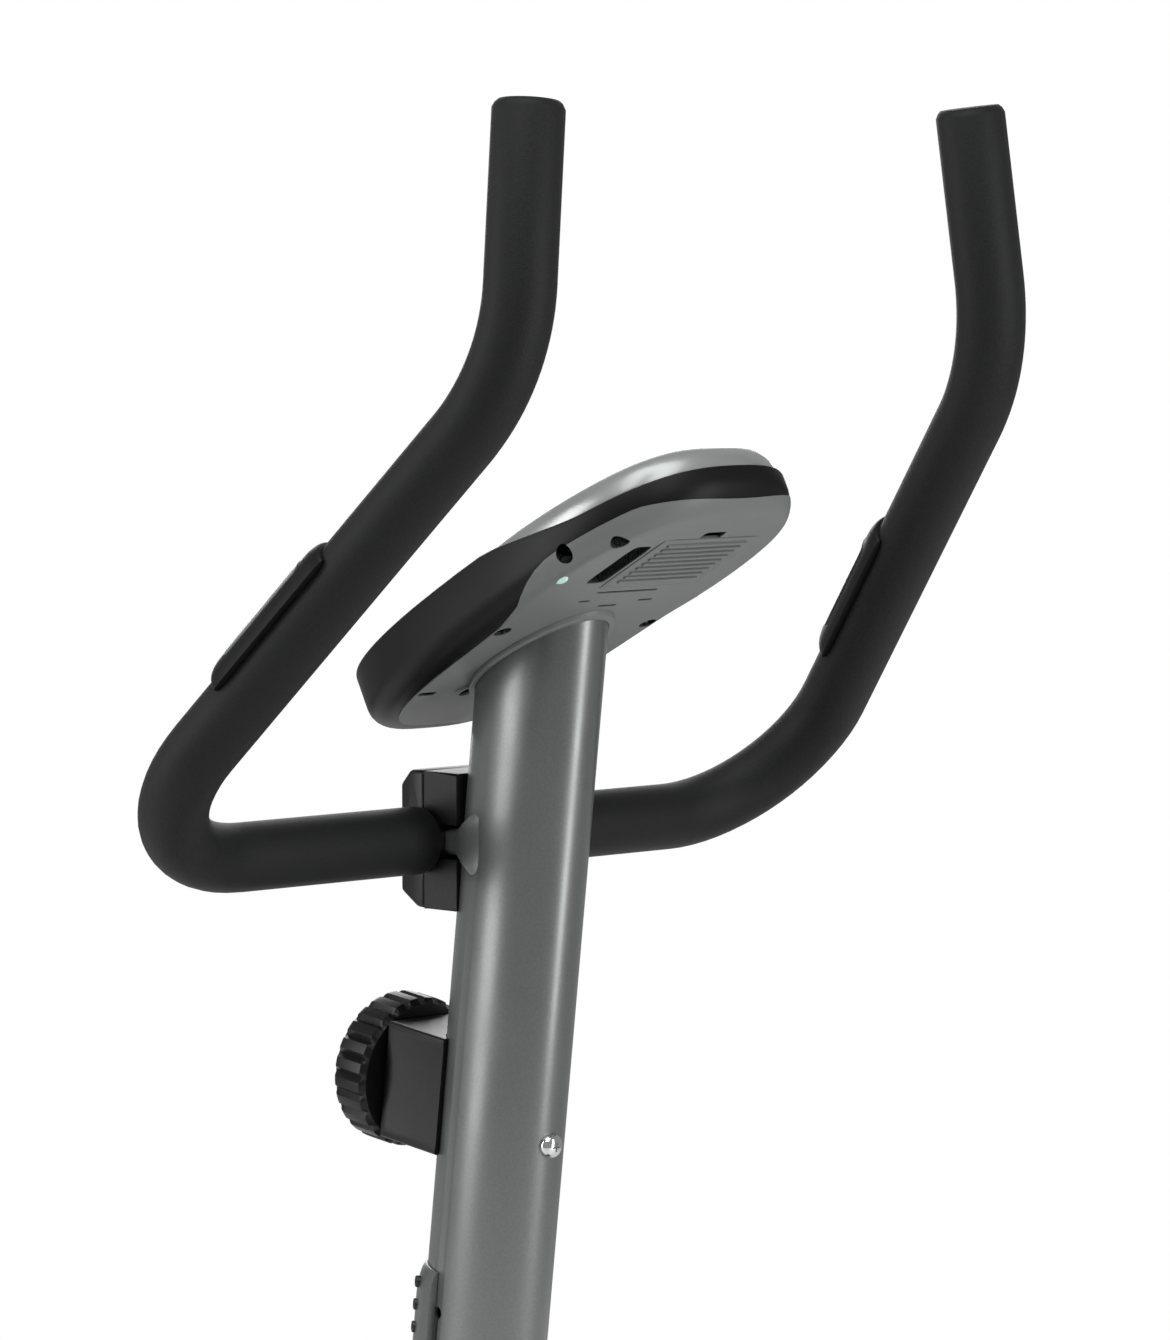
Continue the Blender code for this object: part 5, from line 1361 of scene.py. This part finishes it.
bolt = turned("tilt_bolt", [
    (0, -0.0408), (0.0038, -0.0408), (0.0040, -0.0402), (0.0040, 0.0346), (0.0085, 0.0346),
    (0.0085, 0.0362), (0.0078, 0.0366), (0.0078, 0.0400), (0.0070, 0.0408), (0, 0.0408),
], 48)
dress(put(bolt, AT_PIVOT), ZINC, "saddle", ["saddle_tilt_bolt"], 40)
nut = extruded("tilt_nut", oval(0.0068, 0.0068, 6), -0.0398, -0.0347)
round_edges(nut, 0.0004, 2)
dress(put(nut, AT_PIVOT), ZINC, "saddle", (), 30)
print("saddle clamp and pan ready")

# %% [markdown]
# The saddle's plan is narrow at the nose and spreads to a rounded back. Its sections are lofted
# from front to back, remeshed evenly, and blown up a little as cloth. Each point's travel is
# capped, and points at the flat base stay, because a board backs them.

# %% Saddle cushion
SADDLE_LENGTH, SADDLE_WIDTH, SADDLE_NOSE, SADDLE_THICK = 0.275, 0.235, 0.070, 0.062
SADDLE_EDGE, SWELL_CAP = 0.004, 0.006


def saddle_place(share):
    """Half the width, the depth and the lift at a share of the length, 0 at the nose and 1 behind."""
    spread = 1 / (1 + math.exp(-(share - 0.50) * 11))
    back = math.sqrt(max(0.0, 1 - max(0.0, (share - 0.76) / 0.24) ** 2.4))
    nose = math.sqrt(max(0.0, 1 - max(0.0, (0.14 - share) / 0.14) ** 2.2))
    half = SADDLE_NOSE / 2 + (SADDLE_WIDTH - SADDLE_NOSE) / 2 * spread
    y = PIVOT_Y - 0.130 + SADDLE_EDGE + (SADDLE_LENGTH - 2 * SADDLE_EDGE) * share
    return half * max(0.12, back) * max(0.16, nose) - SADDLE_EDGE, y, 0.040 * (share - 0.5) ** 2


def saddle_section(share):
    """One cross-section: flat below, full at the shoulders, and dipped along the middle."""
    half, y, lift = saddle_place(share)
    thick = (SADDLE_THICK - SADDLE_EDGE) * min(1.0, 6 * share + 0.42, 5 * (1 - share) + 0.42)
    dip = 0.05 + 0.08 * math.exp(-((share - 0.45) / 0.28) ** 2)
    section = []
    for step in range(33):
        turn = math.pi * step / 32
        x = math.copysign(abs(math.cos(turn)) ** 0.62, math.cos(turn))
        z = math.sin(turn) ** 0.55 * (1 - dip * math.exp(-(x / 0.30) ** 2))
        section.append((half * x, y, SADDLE_BASE + 0.003 + lift + (thick - 0.003) * z))
    return section + [(half * x, y, SADDLE_BASE + 0.0006) for x in (-0.93, 0.93)]


def inflate(piece, frames, pressure, cap):
    """Blows a closed mesh up as cloth, with each point's travel capped and its flat base held."""
    rest = [vertex.co.copy() for vertex in piece.data.vertices]
    held = piece.vertex_groups.new(name="held")
    held.add([v.index for v in piece.data.vertices if v.co.z < SADDLE_BASE + 0.004], 1.0, "REPLACE")
    only(piece)
    cloth = piece.modifiers.new("cloth", "CLOTH")
    for name, value in {
        "quality": 6, "mass": 0.3, "use_pressure": True, "uniform_pressure_force": pressure,
        "tension_stiffness": 25, "compression_stiffness": 25, "bending_stiffness": 2.0,
        "vertex_group_mass": "held",
    }.items():
        setattr(cloth.settings, name, value)
    cloth.settings.effector_weights.gravity = 0
    cloth.collision_settings.use_collision = False
    cloth.point_cache.frame_start, cloth.point_cache.frame_end = 1, frames
    for step in range(1, frames + 1):
        scene.frame_set(step)
    bpy.ops.object.modifier_apply(modifier=cloth.name)
    scene.frame_set(1)
    travels = [vertex.co - start for vertex, start in zip(piece.data.vertices, rest)]
    print("cloth travel: greatest", round(max(travel.length for travel in travels), 5), "m")
    for vertex, start, travel in zip(piece.data.vertices, rest, travels):
        if travel.length > cap:
            vertex.co = start + travel.normalized() * cap
    piece.vertex_groups.clear()


cushion = lofted("saddle_cushion", [saddle_section(step / 40) for step in range(41)])
modify(cushion, "REMESH", mode="VOXEL", voxel_size=0.0045)
inflate(cushion, 16, 3.0, SWELL_CAP)
modify(cushion, "SMOOTH", factor=0.5, iterations=4)
modify(cushion, "SUBSURF", levels=1, render_levels=1)
dress(cushion, VINYL, "saddle", ["saddle"], 60)
print("saddle faces", len(cushion.data.polygons))

rim = []
for share in [step / 60 for step in range(61)]:
    half, y, lift = saddle_place(share)
    rim.append(Vector((half + 0.0012, y, SADDLE_BASE + 0.0095 + lift)))
rim += [Vector((-p.x, p.y, p.z)) for p in reversed(rim)]
piping = piped("saddle_piping", rim, 0.0018, 16, closed=True)
dress(piping, RUBBER, "saddle", (), 60)

# %% [markdown]
# ## Cranks and pedals
# Cranks are flat steel arms with a boss at each end. The pedal is a moulded cage with treads on
# both faces, a reflector space at each end left plain, and a strap that buckles over the foot.

# %% Crank arms
CRANK_LENGTH, CRANK_INNER, CRANK_OUTER = 0.150, 0.070, 0.084


def crank_arm(side, word):
    """Both arms are one shape, which points the other way when it is turned half round."""
    outline = hull_of_discs([(0, 0, 0.0200), (CRANK_LENGTH, 0, 0.0145)], 96)
    arm = extruded("crank_" + word, outline, -CRANK_OUTER, -CRANK_INNER)
    hollow = hull_of_discs([(0.034, 0, 0.0085), (CRANK_LENGTH - 0.030, 0, 0.0060)], 48)
    cut(arm, extruded("groove", hollow, -CRANK_OUTER - 0.01, -CRANK_OUTER + 0.0020))
    round_edges(arm, 0.0022, 3, 40)
    drill(arm, 0.0102, -0.2, 0.2)
    drill(arm, 0.0073, -0.2, 0.2, shift(CRANK_LENGTH), 40)
    put(arm, axes(CRANK, Y_AXIS * -side, Z_AXIS, X_AXIS * -side))
    dress(arm, FRAME_PAINT, "crank", ["crank_arm_" + word], 40)

    profile = [(0, 0), (0.0128, 0), (0.0128, 0.0010), (0.0115, 0.0024), (0.0070, 0.0032), (0, 0.0034)]
    dust_cap = turned("crank_cap_" + word, profile, 48)
    put(dust_cap, outward(CRANK + X_AXIS * side * CRANK_OUTER, side))
    dress(dust_cap, BLACK_PLASTIC, "crank")


for side, word in SIDES:
    crank_arm(side, word)
print("crank arms ready")

# %% Pedals
PEDAL_MIDDLE, PEDAL_HALF_X, PEDAL_HALF_Y, PEDAL_HALF_Z = 0.137, 0.045, 0.043, 0.012
STRAP_BACK = 0.0205


def pedal(side, word):
    centre = joint_place(word + "_pedal_spin")
    centre.x = side * PEDAL_MIDDLE
    skin = PEDAL_HALF_Z - 0.0015
    body = extruded("pedal_cage_" + word, oval(PEDAL_HALF_X, PEDAL_HALF_Y, 96, 6), -skin, skin)
    round_edges(body, 0.0030, 3, 40)
    for y in (-0.0285, 0.0285):
        for x in (-0.022, 0.022):
            cut(body, extruded("window", oval(0.0165, 0.0095, 40, 6), -0.1, 0.1), shift(x, y))
    for face in (1, -1):
        span = sorted((face * (PEDAL_HALF_Z - 0.003), face * PEDAL_HALF_Z))
        for count in range(7):
            join(body, extruded("tread", oval(0.0019, 0.0125, 24, 5), *span), shift(-0.0360 + count * 0.0120))
        for y in (-0.0405, 0.0405):
            join(body, extruded("edge_tread", oval(0.0360, 0.0016, 32, 5), *span), shift(y=y))
    drill(body, 0.0073, -0.1, 0.1, across((0, 0, 0)), 40)
    put(body, Matrix.Translation(centre))
    dress(body, BLACK_PLASTIC, "pedal_" + word, ["pedal_" + word], 30)

    profile = [(0, 0), (0.0105, 0), (0.0105, 0.0004), (0.0090, 0.0012), (0, 0.0016)]
    cap = turned("pedal_cap_" + word, profile, 40)
    put(cap, outward(centre + X_AXIS * side * (PEDAL_HALF_X - 0.0012), side))
    dress(cap, BLACK_PLASTIC, "pedal_" + word)

    spindle = turned("spindle_" + word, [
        (0, 0.0710), (0.0058, 0.0710), (0.0070, 0.0722), (0.0070, 0.0842), (0.0100, 0.0842),
        (0.0100, 0.0905), (0.0070, 0.0912), (0.0070, 0.1600), (0.0050, 0.1780), (0, 0.1780),
    ], 48)
    put(spindle, outward((0, centre.y, centre.z), side))
    dress(spindle, ZINC, "crank", ["pedal_spindle_" + word], 40)
    toe_strap(centre, side, word)


def strap_arch(growth):
    """Half of a squarish ring over the foot, as (x, height)."""
    points = []
    for turn in [math.pi * step / 40 for step in range(41)]:
        x = math.copysign((PEDAL_HALF_X + 0.002 + growth) * abs(math.cos(turn)) ** 0.4, math.cos(turn))
        points.append((x, (0.056 + growth) * math.sin(turn) ** 0.8))
    return points


def toe_strap(centre, side, word):
    """A moulded strap in an arch over the foot: thicker at its edges, with a row of holes."""
    band = extruded("strap_" + word, strap_arch(0.003) + strap_arch(0.0)[::-1], -0.013, 0.013)
    for edge in (-0.0115, 0.0115):
        outline = strap_arch(0.0038) + strap_arch(0.0010)[::-1]
        join(band, extruded("strap_edge", outline, edge - 0.0015, edge + 0.0015))
    for count in range(5):
        drill(band, 0.0024, 0.040, 0.075, rearward((-0.024 + count * 0.012, 0, 0)), 24)
    put(band, axes(centre - Y_AXIS * STRAP_BACK, X_AXIS, Z_AXIS, -Y_AXIS))
    dress(band, RUBBER, "pedal_" + word, ["pedal_strap_" + word], 40)
    profile = [(0, 0), (0.0050, 0), (0.0050, 0.0010), (0.0036, 0.0022), (0, 0.0026)]
    stud = turned("strap_stud_" + word, profile, 32)
    put(stud, outward(centre + Vector((side * (PEDAL_HALF_X + 0.0052), -STRAP_BACK, 0.0040)), side))
    dress(stud, BLACK_PLASTIC, "pedal_" + word)


for side, word in SIDES:
    pedal(side, word)
print("cranks and pedals ready")

# %% [markdown]
# ## What the cover hides
# The flywheel, belt, brake and brackets keep their exact shapes from the frame. They take real
# finishes, so that the drive looks right when a cover is left off.

# %% Finishes for the carried-over pieces
CARRIED = {
    FRAME_PAINT: ("mast_stub", "crank_bracket", "flywheel_bracket"),
    IRON: ("flywheel",),
    ZINC: ("bottom_bracket_cup_left", "bottom_bracket_cup_right", "flywheel_axle", "crank_axle",
           "flywheel_pulley", "brake_bracket", "brake_magnets"),
    BLACK_PLASTIC: ("drive_pulley",),
    make_rubber("ribbed_belt_rubber", "#161616", 0.7): ("drive_belt",),
    make_plastic("smooth_cable_sheath", "#141414", 0.35, depth=0.00001): ("tension_cable",),
}
for finish, names in CARRIED.items():
    for name in names:
        for slot in bpy.data.objects[name].material_slots:
            slot.material = finish
print("carried over:", sum(len(names) for names in CARRIED.values()))
